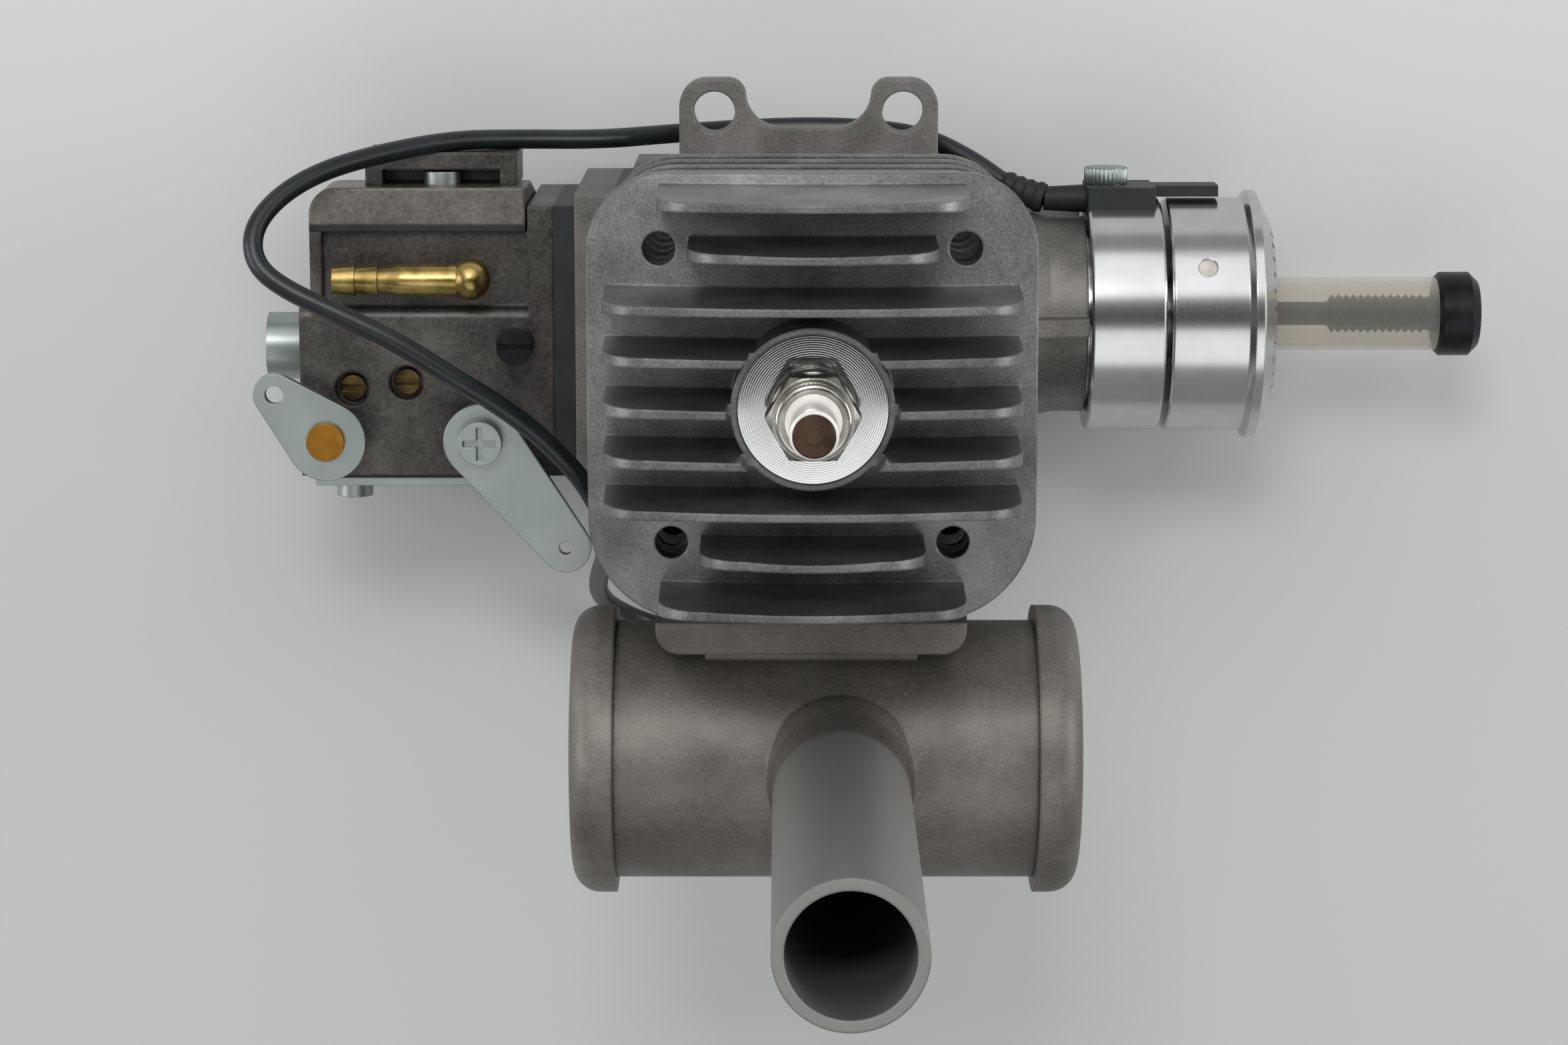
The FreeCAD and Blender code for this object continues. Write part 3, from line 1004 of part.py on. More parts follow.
# ---- muffler -------------------------------------------------------------
def muffler_body():
    rear = CAN_REAR_X + MUFFLER_LIP_WIDTH
    front = CAN_FRONT_X - MUFFLER_LIP_WIDTH
    can = rod_x(rear, front, MUFFLER_RADIUS, MUFFLER_Y, EXHAUST_Z)
    back_y = EXHAUST_FLANGE_Y - MUFFLER_FLANGE_THICKNESS
    flange = box(-EXHAUST_BOSS_HALF_X, EXHAUST_BOSS_HALF_X, back_y, EXHAUST_FLANGE_Y,
                 EXHAUST_Z - EXHAUST_BOSS_HALF_Z, EXHAUST_Z + EXHAUST_BOSS_HALF_Z)
    back_edges = edges_along_z(flange, lambda m: m.y < back_y + SKIN / 2)
    flange = flange.makeFillet(MUFFLER_FLANGE_ROUND, back_edges)
    neck = box(-MUFFLER_NECK_HALF_X, MUFFLER_NECK_HALF_X, MUFFLER_Y,
               EXHAUST_FLANGE_Y - MUFFLER_FLANGE_THICKNESS / 2, EXHAUST_Z - MUFFLER_NECK_HALF_Z,
               EXHAUST_Z + MUFFLER_NECK_HALF_Z)
    can_top = EXHAUST_Z + MUFFLER_RADIUS
    collar_foot = can_top - OUTLET_COLLAR
    outlet = revolve_z([(0, EXHAUST_Z), (OUTLET_RADIUS + OUTLET_COLLAR, EXHAUST_Z),
                        (OUTLET_RADIUS + OUTLET_COLLAR, collar_foot),
                        (OUTLET_RADIUS + OUTLET_COLLAR / 4, can_top + OUTLET_COLLAR_HEIGHT / 3),
                        (OUTLET_RADIUS, can_top + OUTLET_COLLAR_HEIGHT),
                        (OUTLET_RADIUS, OUTLET_TIP_Z), (0, OUTLET_TIP_Z)], OUTLET_X, MUFFLER_Y)
    solid = fuse_all([can, flange, neck, outlet])
    inside = rod_x(rear - SKIN, front + SKIN, MUFFLER_RADIUS - MUFFLER_WALL, MUFFLER_Y, EXHAUST_Z)
    port = box(-PORT_HALF_WIDTH, PORT_HALF_WIDTH, MUFFLER_Y, EXHAUST_FLANGE_Y + SKIN,
               EXHAUST_Z - PORT_HEIGHT / 2, EXHAUST_Z + PORT_HEIGHT / 2)
    pipe = rod_z(EXHAUST_Z, OUTLET_TIP_Z + SKIN, OUTLET_RADIUS - OUTLET_WALL, OUTLET_X, MUFFLER_Y)
    solid = cut_all(solid, [inside, port, pipe])
    far_side = rod_x(rear, front, MUFFLER_RADIUS, MUFFLER_Y, EXHAUST_Z)
    for sign in (1, -1):
        x = sign * MUFFLER_SCREW_HALF_SPACING
        tube = rod_y(MUFFLER_Y - MUFFLER_RADIUS, MUFFLER_Y + MUFFLER_RADIUS, MUFFLER_TUBE_RADIUS, x,
                     EXHAUST_Z)
        outlet_bore = rod_z(EXHAUST_Z, OUTLET_TIP_Z, OUTLET_RADIUS - OUTLET_WALL, OUTLET_X, MUFFLER_Y)
        solid = solid.fuse(tube.common(far_side).cut(outlet_bore))
        solid = solid.cut(rod_y(SCREW_SEAT_Y - SKIN, EXHAUST_FLANGE_Y + SKIN,
                                MUFFLER_SCREW_RADIUS + HOLE_GAP, x, EXHAUST_Z))
        solid = solid.cut(rod_y(MUFFLER_Y - MUFFLER_RADIUS - SKIN, SCREW_SEAT_Y,
                                MUFFLER_SCREW_HEAD_RADIUS + BODY_GAP, x, EXHAUST_Z))
    return solid


def end_cap(side):
    """A pressed lid: lip over the end of the can, rounded rim, step that plugs in."""
    cap = rod_x(0, MUFFLER_LIP_WIDTH + MUFFLER_CAP_HEIGHT, MUFFLER_LIP_RADIUS)
    rim = [edge for edge in cap.Edges if edge.isClosed() and edge.BoundBox.XMin > MUFFLER_LIP_WIDTH]
    cap = cap.makeFillet(MUFFLER_CAP_ROUND, rim)
    step = rod_x(-MUFFLER_CAP_STEP, SKIN, MUFFLER_RADIUS - MUFFLER_WALL - SEAT_GAP)
    step = step.cut(rod_x(-MUFFLER_CAP_STEP - SKIN, 0, MUFFLER_RADIUS - 2 * MUFFLER_WALL))
    cap = fuse_all([cap, step])
    if side < 0:
        return moved(cap.mirror(ORIGIN, X_DIR), CAN_REAR_X + MUFFLER_LIP_WIDTH, MUFFLER_Y, EXHAUST_Z)
    return moved(cap, CAN_FRONT_X - MUFFLER_LIP_WIDTH, MUFFLER_Y, EXHAUST_Z)


def muffler_end_caps():
    return Part.makeCompound([end_cap(-1), end_cap(1)])


def muffler_gasket():
    sheet = box(-EXHAUST_BOSS_HALF_X, EXHAUST_BOSS_HALF_X, EXHAUST_FLANGE_Y, EXHAUST_FACE_Y,
                EXHAUST_Z - EXHAUST_BOSS_HALF_Z, EXHAUST_Z + EXHAUST_BOSS_HALF_Z)
    tools = [box(-PORT_HALF_WIDTH, PORT_HALF_WIDTH, EXHAUST_FLANGE_Y - SKIN, EXHAUST_FACE_Y + SKIN,
                 EXHAUST_Z - PORT_HEIGHT / 2, EXHAUST_Z + PORT_HEIGHT / 2)]
    for sign in (1, -1):
        tools.append(rod_y(EXHAUST_FLANGE_Y - SKIN, EXHAUST_FACE_Y + SKIN,
                           MUFFLER_SCREW_RADIUS + HOLE_GAP, sign * MUFFLER_SCREW_HALF_SPACING,
                           EXHAUST_Z))
    return cut_all(sheet, tools)


def muffler_screws():
    screws = []
    for sign in (1, -1):
        x = sign * MUFFLER_SCREW_HALF_SPACING
        head_end = SCREW_SEAT_Y - MUFFLER_SCREW_HEAD_HEIGHT
        head = rod_y(head_end, SCREW_SEAT_Y, MUFFLER_SCREW_HEAD_RADIUS, x, EXHAUST_Z)
        shank = rod_y(SCREW_SEAT_Y - SKIN, EXHAUST_FACE_Y + MUFFLER_SCREW_GRIP, MUFFLER_SCREW_RADIUS, x,
                      EXHAUST_Z)
        socket = hexagon(HEX_SOCKET_FLATS, -SKIN, HEX_SOCKET_DEPTH)
        socket = moved(turned(socket, -90, X_DIR), x, head_end, EXHAUST_Z)
        screws.append(head.fuse(shank).cut(socket))
    return Part.makeCompound(screws)


# ---- spark plug ----------------------------------------------------------
def plug_washer():
    return rod_z(PLUG_SEAT_Z, PLUG_FLANGE_Z, PLUG_WASHER_RADIUS).cut(
        rod_z(PLUG_SEAT_Z - SKIN, PLUG_FLANGE_Z + SKIN, PLUG_THREAD_RADIUS + SEAT_GAP))


def plug_shell():
    thread = rod_z(CHAMBER_TOP_Z, PLUG_FLANGE_Z + SKIN, PLUG_THREAD_RADIUS)
    flange = rod_z(PLUG_FLANGE_Z, PLUG_FLANGE_Z + PLUG_FLANGE_HEIGHT + SKIN, PLUG_WASHER_RADIUS)
    hexagon_body = hexagon(PLUG_HEX_FLATS, PLUG_FLANGE_Z + PLUG_FLANGE_HEIGHT, PLUG_HEX_TOP_Z)
    chamfer = revolve_z([(0, PLUG_FLANGE_Z), (PLUG_HEX_FLATS, PLUG_FLANGE_Z),
                         (PLUG_HEX_FLATS, PLUG_HEX_TOP_Z - PLUG_HEX_FLATS / 2),
                         (PLUG_HEX_FLATS / 2, PLUG_HEX_TOP_Z), (0, PLUG_HEX_TOP_Z)])
    collar = rod_z(PLUG_HEX_TOP_Z - SKIN, PLUG_COLLAR_TOP_Z, PLUG_COLLAR_RADIUS - PLUG_CRIMP)
    strap = box(PLUG_NOSE_RADIUS + SEAT_GAP, PLUG_THREAD_RADIUS, -PLUG_STRAP_HALF, PLUG_STRAP_HALF,
                CHAMBER_TOP_Z - PLUG_STRAP_DROP, CHAMBER_TOP_Z + SKIN / 4)
    arm = box(-PLUG_STRAP_HALF, PLUG_THREAD_RADIUS, -PLUG_STRAP_HALF, PLUG_STRAP_HALF,
              CHAMBER_TOP_Z - PLUG_STRAP_DROP - PLUG_STRAP_HALF, CHAMBER_TOP_Z - PLUG_STRAP_DROP)
    solid = fuse_all([thread, flange, hexagon_body.common(chamfer), collar, strap, arm])
    nose = rod_z(CHAMBER_TOP_Z - SKIN / 4, PLUG_HEX_TOP_Z, PLUG_NOSE_RADIUS + SEAT_GAP)
    bore = rod_z(PLUG_STEP_Z, PLUG_COLLAR_TOP_Z + SKIN, PLUG_SHOULDER_RADIUS + SEAT_GAP)
    return cut_all(solid, [nose, bore])


def plug_insulator():
    body = revolve_z([(PLUG_CORE_RADIUS + SEAT_GAP, CHAMBER_TOP_Z + SEAT_GAP),
                      (PLUG_NOSE_RADIUS, CHAMBER_TOP_Z + SEAT_GAP), (PLUG_NOSE_RADIUS, PLUG_STEP_Z),
                      (PLUG_SHOULDER_RADIUS, PLUG_STEP_Z), (PLUG_SHOULDER_RADIUS, PLUG_COLLAR_TOP_Z),
                      (PLUG_INSULATOR_RADIUS, PLUG_COLLAR_TOP_Z),
                      (PLUG_INSULATOR_RADIUS, PLUG_TOP_Z - PLUG_CRIMP),
                      (PLUG_INSULATOR_RADIUS - PLUG_CRIMP, PLUG_TOP_Z),
                      (PLUG_CORE_RADIUS + SEAT_GAP, PLUG_TOP_Z)])
    return body


def plug_terminal():
    core = rod_z(CHAMBER_TOP_Z - PLUG_CORE_DROP, PLUG_TOP_Z + SKIN, PLUG_CORE_RADIUS)
    top = PLUG_TOP_Z + PLUG_TERMINAL_HEIGHT
    nut = revolve_z([(0, PLUG_TOP_Z), (PLUG_TERMINAL_RADIUS, PLUG_TOP_Z),
                     (PLUG_TERMINAL_RADIUS, top - PLUG_TERMINAL_BREAK),
                     (PLUG_TERMINAL_RADIUS - PLUG_TERMINAL_BREAK, top),
                     (0, top)])
    return fuse_all([nut, core])


# ---- ignition sensor and its lead ---------------------------------------
def sensor_housing():
    body = box(RING_START_X, SENSOR_END_X, SENSOR_SEAT_Y, SENSOR_TOP_Y, -SENSOR_HALF_Z, SENSOR_HALF_Z)
    arm = box(SENSOR_END_X - SKIN, RING_END_X + SENSOR_ARM_REACH, SENSOR_TOP_Y - SENSOR_ARM_THICKNESS,
              SENSOR_TOP_Y, -SENSOR_ARM_HALF_Z, SENSOR_ARM_HALF_Z)
    hole = rod_y(SENSOR_SEAT_Y - SKIN, SENSOR_TOP_Y + SKIN, SENSOR_SCREW_RADIUS + SEAT_GAP, SENSOR_SCREW_X)
    return fuse_all([body, arm]).cut(hole)


def sensor_screw():
    shank = rod_y(FRONT_BEARING_RADIUS + BODY_GAP, SENSOR_TOP_Y + SKIN, SENSOR_SCREW_RADIUS,
                  SENSOR_SCREW_X)
    head_top = SENSOR_TOP_Y + SENSOR_SCREW_HEAD_HEIGHT
    head = rod_y(SENSOR_TOP_Y, head_top, SENSOR_SCREW_HEAD_RADIUS, SENSOR_SCREW_X)
    slot = box(SENSOR_SCREW_X - SENSOR_SCREW_HEAD_RADIUS, SENSOR_SCREW_X + SENSOR_SCREW_HEAD_RADIUS,
               head_top - SLOT_DEPTH, head_top + SKIN, -SLOT_WIDTH / 2, SLOT_WIDTH / 2)
    return fuse_all([head, shank]).cut(slot)


def sensor_gland():
    wide = GLAND_RADIUS
    narrow = LEAD_DIAMETER / 2 + GLAND_LIP
    profile = [(GLAND_END_X, 0), (GLAND_END_X, narrow), (RING_START_X, wide), (RING_START_X, 0)]
    return moved(revolve_x(profile), 0, GLAND_Y, GLAND_Z)


def rounded_path(points):
    """Straight runs joined by tangent arcs; returns the wire, its length and the arcs' radii."""
    vectors = [Vector(*point) for point in points]
    edges = []
    radii = []
    here = vectors[0]
    for before, corner, after in zip(vectors, vectors[1:], vectors[2:]):
        come = (corner - before)
        leave = (after - corner)
        half_turn = come.getAngle(leave) / 2
        setback = ARC_SHARE * min(come.Length, leave.Length)
        radius = setback / math.tan(half_turn)
        come.normalize()
        leave.normalize()
        start = corner - come * setback
        end = corner + leave * setback
        inward = leave - come
        inward.normalize()
        middle = corner + inward * (radius / math.cos(half_turn) - radius)
        edges.append(Part.LineSegment(here, start).toShape())
        edges.append(Part.Arc(start, middle, end).toShape())
        radii.append(radius)
        here = end
    edges.append(Part.LineSegment(here, vectors[-1]).toShape())
    wire = Part.Wire(edges)
    return wire, wire.Length, radii


def sensor_lead():
    wire, length, radii = rounded_path(LEAD_POINTS)
    first = Vector(*LEAD_POINTS[0])
    direction = Vector(*LEAD_POINTS[1]) - first
    section = Part.Wire(Part.Edge(Part.Circle(first, direction, LEAD_DIAMETER / 2)))
    tube = wire.makePipeShell([section], True, False)
    expected = math.pi * LEAD_DIAMETER ** 2 / 4 * length
    print("sensor lead: length %.1f mm, volume %.1f (expected %.1f)" % (length, tube.Volume, expected))
    print("sensor lead: arc radii " + ", ".join("%.1f" % radius for radius in radii))
    return tube


def lead_plug():
    """A flat three-way plug in line with the end of the lead."""
    end = Vector(*LEAD_POINTS[-1])
    direction = end - Vector(*LEAD_POINTS[-2])
    half = LEAD_PLUG_WIDTH / 2
    body = box(0, LEAD_PLUG_LENGTH, -half, half, -LEAD_PLUG_HEIGHT / 2, LEAD_PLUG_HEIGHT / 2)
    tools = []
    for k in (-1, 0, 1):
        y = k * LEAD_PIN_PITCH
        tools.append(box(LEAD_PLUG_LENGTH - LEAD_PIN_DEPTH, LEAD_PLUG_LENGTH + SKIN, y - LEAD_PIN_HALF,
                         y + LEAD_PIN_HALF, -LEAD_PIN_HALF, LEAD_PIN_HALF))
    body = cut_all(body, tools)
    body = turned(body, math.degrees(math.atan2(direction.y, direction.x)))
    return moved(body, end.x, end.y, end.z)


# ---- intake --------------------------------------------------------------
def intake_plate(x0, x1):
    return box(x0, x1, INTAKE_LOW_Y, INTAKE_HIGH_Y, -INTAKE_HALF_Z, INTAKE_HALF_Z)


def intake_screw_holes(radius):
    holes = []
    for y, z in INTAKE_SCREWS:
        holes.append(rod_x(CARB_FRONT_X, CASE_REAR_X + SKIN, radius, y, z))
    return holes


def intake_gasket():
    port = box(PLATE_X - SKIN, CASE_REAR_X + SKIN, REED_PORT_Y - REED_PORT_HALF_Y,
               REED_PORT_Y + REED_PORT_HALF_Y, -REED_PORT_HALF_Z, REED_PORT_HALF_Z)
    holes = intake_screw_holes(INTAKE_SCREW_RADIUS + SEAT_GAP)
    return cut_all(intake_plate(PLATE_X, CASE_REAR_X), [port] + holes)


def reed_manifold():
    pocket = box(PLATE_X - MANIFOLD_POCKET_DEPTH, PLATE_X + SKIN,
                 REED_PORT_Y - REED_PORT_HALF_Y - MANIFOLD_POCKET_MARGIN,
                 REED_PORT_Y + REED_PORT_HALF_Y + MANIFOLD_POCKET_MARGIN,
                 -REED_PORT_HALF_Z - MANIFOLD_POCKET_MARGIN, REED_PORT_HALF_Z + MANIFOLD_POCKET_MARGIN)
    port = rod_x(MANIFOLD_X - SKIN, PLATE_X, MANIFOLD_PORT_RADIUS, CARB_BARREL_Y, CARB_BARREL_Z)
    tools = [pocket, port] + intake_screw_holes(INTAKE_SCREW_RADIUS + SEAT_GAP)
    for y, z in INTAKE_SCREWS:
        tools.append(rod_x(MANIFOLD_X - SKIN, INTAKE_SEAT_X, INTAKE_SCREW_HEAD_RADIUS + BODY_GAP, y, z))
    for y, z in CARB_BOLTS:
        tools.append(rod_x(MANIFOLD_X - SKIN, CARB_BOLT_TIP_X, CARB_BOLT_RADIUS + SEAT_GAP, y, z))
    return cut_all(intake_plate(MANIFOLD_X, PLATE_X), tools)


def manifold_screws():
    screws = []
    for y, z in INTAKE_SCREWS:
        head = rod_x(INTAKE_SEAT_X - INTAKE_SCREW_HEAD_HEIGHT, INTAKE_SEAT_X, INTAKE_SCREW_HEAD_RADIUS,
                     y, z)
        shank = rod_x(INTAKE_SEAT_X - SKIN, CASE_REAR_X + INTAKE_SCREW_GRIP, INTAKE_SCREW_RADIUS, y, z)
        screws.append(head.fuse(shank))
    return Part.makeCompound(screws)


def reed_petals():
    return box(CASE_REAR_X, CASE_REAR_X + REED_THICKNESS, REED_PORT_Y - REED_HALF_WIDTH + SKIN,
               REED_PORT_Y + REED_HALF_WIDTH, -REED_HALF_HEIGHT, REED_HALF_HEIGHT)


def carb_insulator():
    body = box(CARB_FRONT_X, MANIFOLD_X, CARB_METERING_Y, CARB_FLANGE_TOP_Y, CARB_BOTTOM_Z, CARB_TOP_Z)
    rear = CARB_FRONT_X - SKIN
    front = MANIFOLD_X + SKIN
    tools = [rod_x(rear, front, MANIFOLD_PORT_RADIUS, CARB_BARREL_Y, CARB_BARREL_Z)]
    for y, z in CARB_BOLTS:
        tools.append(rod_x(rear, front, CARB_BOLT_RADIUS + HOLE_GAP, y, z))
    return cut_all(body, tools)


# ---- carburettor ---------------------------------------------------------
def carb_body():
    barrel = box(CARB_AIR_X, CARB_FRONT_X, CARB_METERING_Y, CARB_BARREL_TOP_Y, CARB_BOTTOM_Z, CARB_TOP_Z)
    edges = []
    for edge in barrel.Edges:
        middle = edge.CenterOfMass
        along_x = abs(edge.tangentAt(edge.FirstParameter).x) > 0.9
        if along_x and middle.z > 0 and middle.y > 0:
            edges.append(edge)
    barrel = barrel.makeFillet(CARB_BARREL_ROUND, edges)
    pump_half = box(CARB_REAR_X, CARB_FRONT_X, 0, CARB_PUMP_Y, CARB_BOTTOM_Z + CARB_STEP, PUMP_FACE_Z)
    flange = box(CARB_FRONT_X - CARB_FLANGE_THICKNESS, CARB_FRONT_X, CARB_METERING_Y, CARB_FLANGE_TOP_Y,
                 CARB_BOTTOM_Z, CARB_TOP_Z)
    rim = box(CARB_REAR_X, CARB_REAR_X + CARB_STEP, 0, CARB_PUMP_Y, CARB_BOTTOM_Z, CARB_TOP_Z)
    solid = fuse_all([barrel, pump_half, flange, rim])
    tools = [rod_x(CARB_AIR_X - SKIN, CHOKE_END_X, CHOKE_BORE_RADIUS, CARB_BARREL_Y, CARB_BARREL_Z),
             rod_x(CHOKE_END_X - SKIN, THROAT_END_X + SKIN, THROAT_RADIUS, CARB_BARREL_Y, CARB_BARREL_Z),
             rod_x(THROAT_END_X, CARB_FRONT_X + SKIN, THROTTLE_BORE_RADIUS, CARB_BARREL_Y, CARB_BARREL_Z)]
    for x in (THROTTLE_X, CHOKE_X):
        tools.append(rod_z(CARB_BOTTOM_Z - SKIN, CARB_TOP_Z + SKIN, VALVE_SHAFT_RADIUS + RUNNING_FIT, x,
                           CARB_BARREL_Y))
    for place in (HIGH_NEEDLE, LOW_NEEDLE):
        tools.append(needle_room(place))
    tools.append(rod_z(CARB_TOP_Z - IDLE_SCREW_DEPTH - BODY_GAP, CARB_TOP_Z + SKIN,
                       IDLE_SCREW_RADIUS + RUNNING_FIT, IDLE_SCREW_X, IDLE_SCREW_Y))
    tools.append(rod_z(PUMP_FACE_Z - BARB_STEM_DEPTH, CARB_TOP_Z, BARB_RADIUS + SEAT_GAP, BARB_BALL_X,
                       BARB_Y))
    for y, z in CARB_BOLTS:
        tools.append(rod_x(CARB_AIR_X - SKIN, CARB_FRONT_X + SKIN, CARB_BOLT_RADIUS + HOLE_GAP, y, z))
    for x, z in metering_screw_places():
        tools.append(rod_y(CARB_METERING_Y - SKIN, CARB_METERING_Y + COVER_SCREW_GRIP,
                           COVER_SCREW_SHANK + SEAT_GAP, x, z))
    tools.append(rod_y(CARB_PUMP_Y - PUMP_SCREW_GRIP, CARB_PUMP_Y + SKIN, COVER_SCREW_SHANK + SEAT_GAP,
                       PUMP_SCREW_X, PUMP_SCREW_Z))
    return cut_all(solid, tools)


def metering_screw_places():
    middle = (CARB_REAR_X + CARB_FRONT_X) / 2
    return [(middle + side * METERING_SCREW_HALF_X, z) for side in (-1, 1)
            for z in (METERING_SCREW_HIGH_Z, METERING_SCREW_LOW_Z)]


def pump_plate(y0, y1):
    plate = box(CARB_REAR_X, CARB_FRONT_X - CARB_FLANGE_THICKNESS - BODY_GAP, y0, y1,
                CARB_BOTTOM_Z + CARB_STEP, CARB_TOP_Z)
    hole = rod_y(y0 - SKIN, y1 + SKIN, COVER_SCREW_SHANK + SEAT_GAP, PUMP_SCREW_X, PUMP_SCREW_Z)
    return plate.cut(hole)


def pump_gasket():
    return pump_plate(CARB_PUMP_Y, PUMP_COVER_Y)


def pump_cover():
    """The pump cover: one rounded corner, and a slope on its far side."""
    plate = pump_plate(PUMP_COVER_Y, PUMP_TOP_Y)
    corner = edges_along_z(plate, lambda m: m.x < CARB_REAR_X + SKIN and m.y > PUMP_TOP_Y - SKIN / 2)
    plate = plate.makeFillet(PUMP_COVER_ROUND, corner)
    far_z = CARB_BOTTOM_Z + CARB_STEP
    points = [Vector(CARB_REAR_X - SKIN, y, z) for y, z in (
        (PUMP_COVER_Y + PUMP_SLOPE_EDGE, far_z - SKIN), (PUMP_TOP_Y + SKIN, far_z - SKIN),
        (PUMP_TOP_Y + SKIN, PUMP_SLOPE_Z), (PUMP_TOP_Y, PUMP_SLOPE_Z),
        (PUMP_COVER_Y + PUMP_SLOPE_EDGE, far_z))]
    slope = Part.Face(Part.makePolygon(points + points[:1])).extrude(Vector(CARB_LENGTH + 2 * SKIN, 0, 0))
    return plate.cut(slope)


def pump_bracket():
    half = PUMP_BRACKET_LENGTH / 2
    block = box(PUMP_SCREW_X - half, PUMP_SCREW_X + half, PUMP_TOP_Y, PUMP_TOP_Y + PUMP_BRACKET_HEIGHT,
                PUMP_BRACKET_REAR_Z, PUMP_BRACKET_FRONT_Z)
    inner_half = half - PUMP_BRACKET_HEIGHT / 2
    recess = box(PUMP_SCREW_X - inner_half, PUMP_SCREW_X + inner_half,
                 PUMP_TOP_Y - SKIN, PUMP_TOP_Y + COVER_SCREW_HEIGHT + BODY_GAP,
                 PUMP_SCREW_Z - COVER_SCREW_RADIUS - SKIN, PUMP_BRACKET_FRONT_Z + SKIN)
    return block.cut(recess)


def metering_plate(y0, y1):
    plate = box(CARB_REAR_X, CARB_FRONT_X - CARB_FLANGE_THICKNESS, y0, y1, CARB_BOTTOM_Z + CARB_STEP,
                CARB_TOP_Z - CARB_STEP)
    holes = []
    for x, z in metering_screw_places():
        holes.append(rod_y(y0 - SKIN, y1 + SKIN, COVER_SCREW_SHANK + SEAT_GAP, x, z))
    return cut_all(plate, holes)


def metering_diaphragm():
    return metering_plate(METERING_COVER_Y, CARB_METERING_Y)


def metering_cover():
    return metering_plate(METERING_END_Y, METERING_COVER_Y)


def cover_screws():
    screws = []
    for x, z in metering_screw_places():
        head = rod_y(METERING_END_Y - COVER_SCREW_HEIGHT, METERING_END_Y, COVER_SCREW_RADIUS, x, z)
        shank = rod_y(METERING_END_Y - SKIN, CARB_METERING_Y + COVER_SCREW_GRIP, COVER_SCREW_SHANK, x, z)
        screws.append(head.fuse(shank))
    head_end = PUMP_TOP_Y + COVER_SCREW_HEIGHT
    head = rod_y(PUMP_TOP_Y, head_end, COVER_SCREW_RADIUS, PUMP_SCREW_X, PUMP_SCREW_Z)
    shank_end = CARB_PUMP_Y - PUMP_SCREW_GRIP
    shank = rod_y(shank_end, PUMP_TOP_Y + SKIN, COVER_SCREW_SHANK, PUMP_SCREW_X, PUMP_SCREW_Z)
    screws.append(head.fuse(shank))
    return Part.makeCompound(screws)


def fuel_barb():
    stem = rod_z(PUMP_FACE_Z - BARB_STEM_DEPTH, BARB_Z, BARB_RADIUS, BARB_BALL_X, BARB_Y)
    ball = Part.makeSphere(BARB_BALL_RADIUS, Vector(BARB_BALL_X, BARB_Y, BARB_Z))
    tip = BARB_BALL_X - BARB_LENGTH
    pipe = [(BARB_BALL_X, 0), (BARB_BALL_X, BARB_RADIUS)]
    for k in range(BARB_RIDGES):
        ridge = tip + (BARB_RIDGES - k) * BARB_RIDGE_PITCH
        pipe.append((ridge, BARB_RADIUS if k == 0 else BARB_RADIUS - BARB_RIDGE_STEP))
        pipe.append((ridge, BARB_RADIUS))
        pipe.append((ridge - BARB_RIDGE_PITCH + SEAT_GAP, BARB_RADIUS - BARB_RIDGE_STEP))
    pipe.append((tip, 0))
    solid = fuse_all([stem, ball, moved(revolve_x(pipe), 0, BARB_Y, BARB_Z)])
    return solid.cut(rod_x(tip - SKIN, BARB_BALL_X, BARB_BORE_RADIUS, BARB_Y, BARB_Z))


def carb_bolts():
    bolts = []
    for y, z in CARB_BOLTS:
        head = rod_x(CARB_AIR_X - CARB_BOLT_HEAD_HEIGHT, CARB_AIR_X, CARB_BOLT_HEAD_RADIUS, y, z)
        shank = rod_x(CARB_AIR_X - SKIN, CARB_BOLT_TIP_X, CARB_BOLT_RADIUS, y, z)
        bolts.append(head.fuse(shank))
    return Part.makeCompound(bolts)


def lever_arm(x, hub_radius, tip_radius, length, angle):
    """A flat lever: two round ends joined by tangent edges, on the carburettor's top."""
    lean = math.acos((hub_radius - tip_radius) / length)
    points = []
    for radius, offset, direction in ((hub_radius, 0, lean), (tip_radius, length, lean),
                                      (tip_radius, length, 0), (tip_radius, length, -lean),
                                      (hub_radius, 0, -lean), (hub_radius, 0, math.pi)):
        points.append(Vector(offset + radius * math.cos(direction), radius * math.sin(direction), LEVER_Z))
    wire = Part.Wire([Part.LineSegment(points[0], points[1]).toShape(),
                      Part.Arc(points[1], points[2], points[3]).toShape(),
                      Part.LineSegment(points[3], points[4]).toShape(),
                      Part.Arc(points[4], points[5], points[0]).toShape()])
    plate = Part.Face(wire).extrude(Vector(0, 0, LEVER_THICKNESS))
    return moved(turned(plate, angle), x, CARB_BARREL_Y)


def arm_point(x, length, angle):
    turn = math.radians(angle)
    return x + length * math.cos(turn), CARB_BARREL_Y + length * math.sin(turn)


def throttle_lever():
    plate = lever_arm(THROTTLE_X, THROTTLE_HUB_RADIUS, THROTTLE_TIP_RADIUS, THROTTLE_ARM_LENGTH,
                      THROTTLE_ARM_ANGLE)
    x, y = arm_point(THROTTLE_X, THROTTLE_ARM_LENGTH, THROTTLE_ARM_ANGLE)
    tools = [rod_z(LEVER_Z - SKIN, LEVER_TOP_Z + SKIN, THROTTLE_HOLE_RADIUS, x, y),
             rod_z(LEVER_Z - SKIN, LEVER_TOP_Z + SKIN, LEVER_SCREW_SHANK + SEAT_GAP, THROTTLE_X,
                   CARB_BARREL_Y)]
    return cut_all(plate, tools)


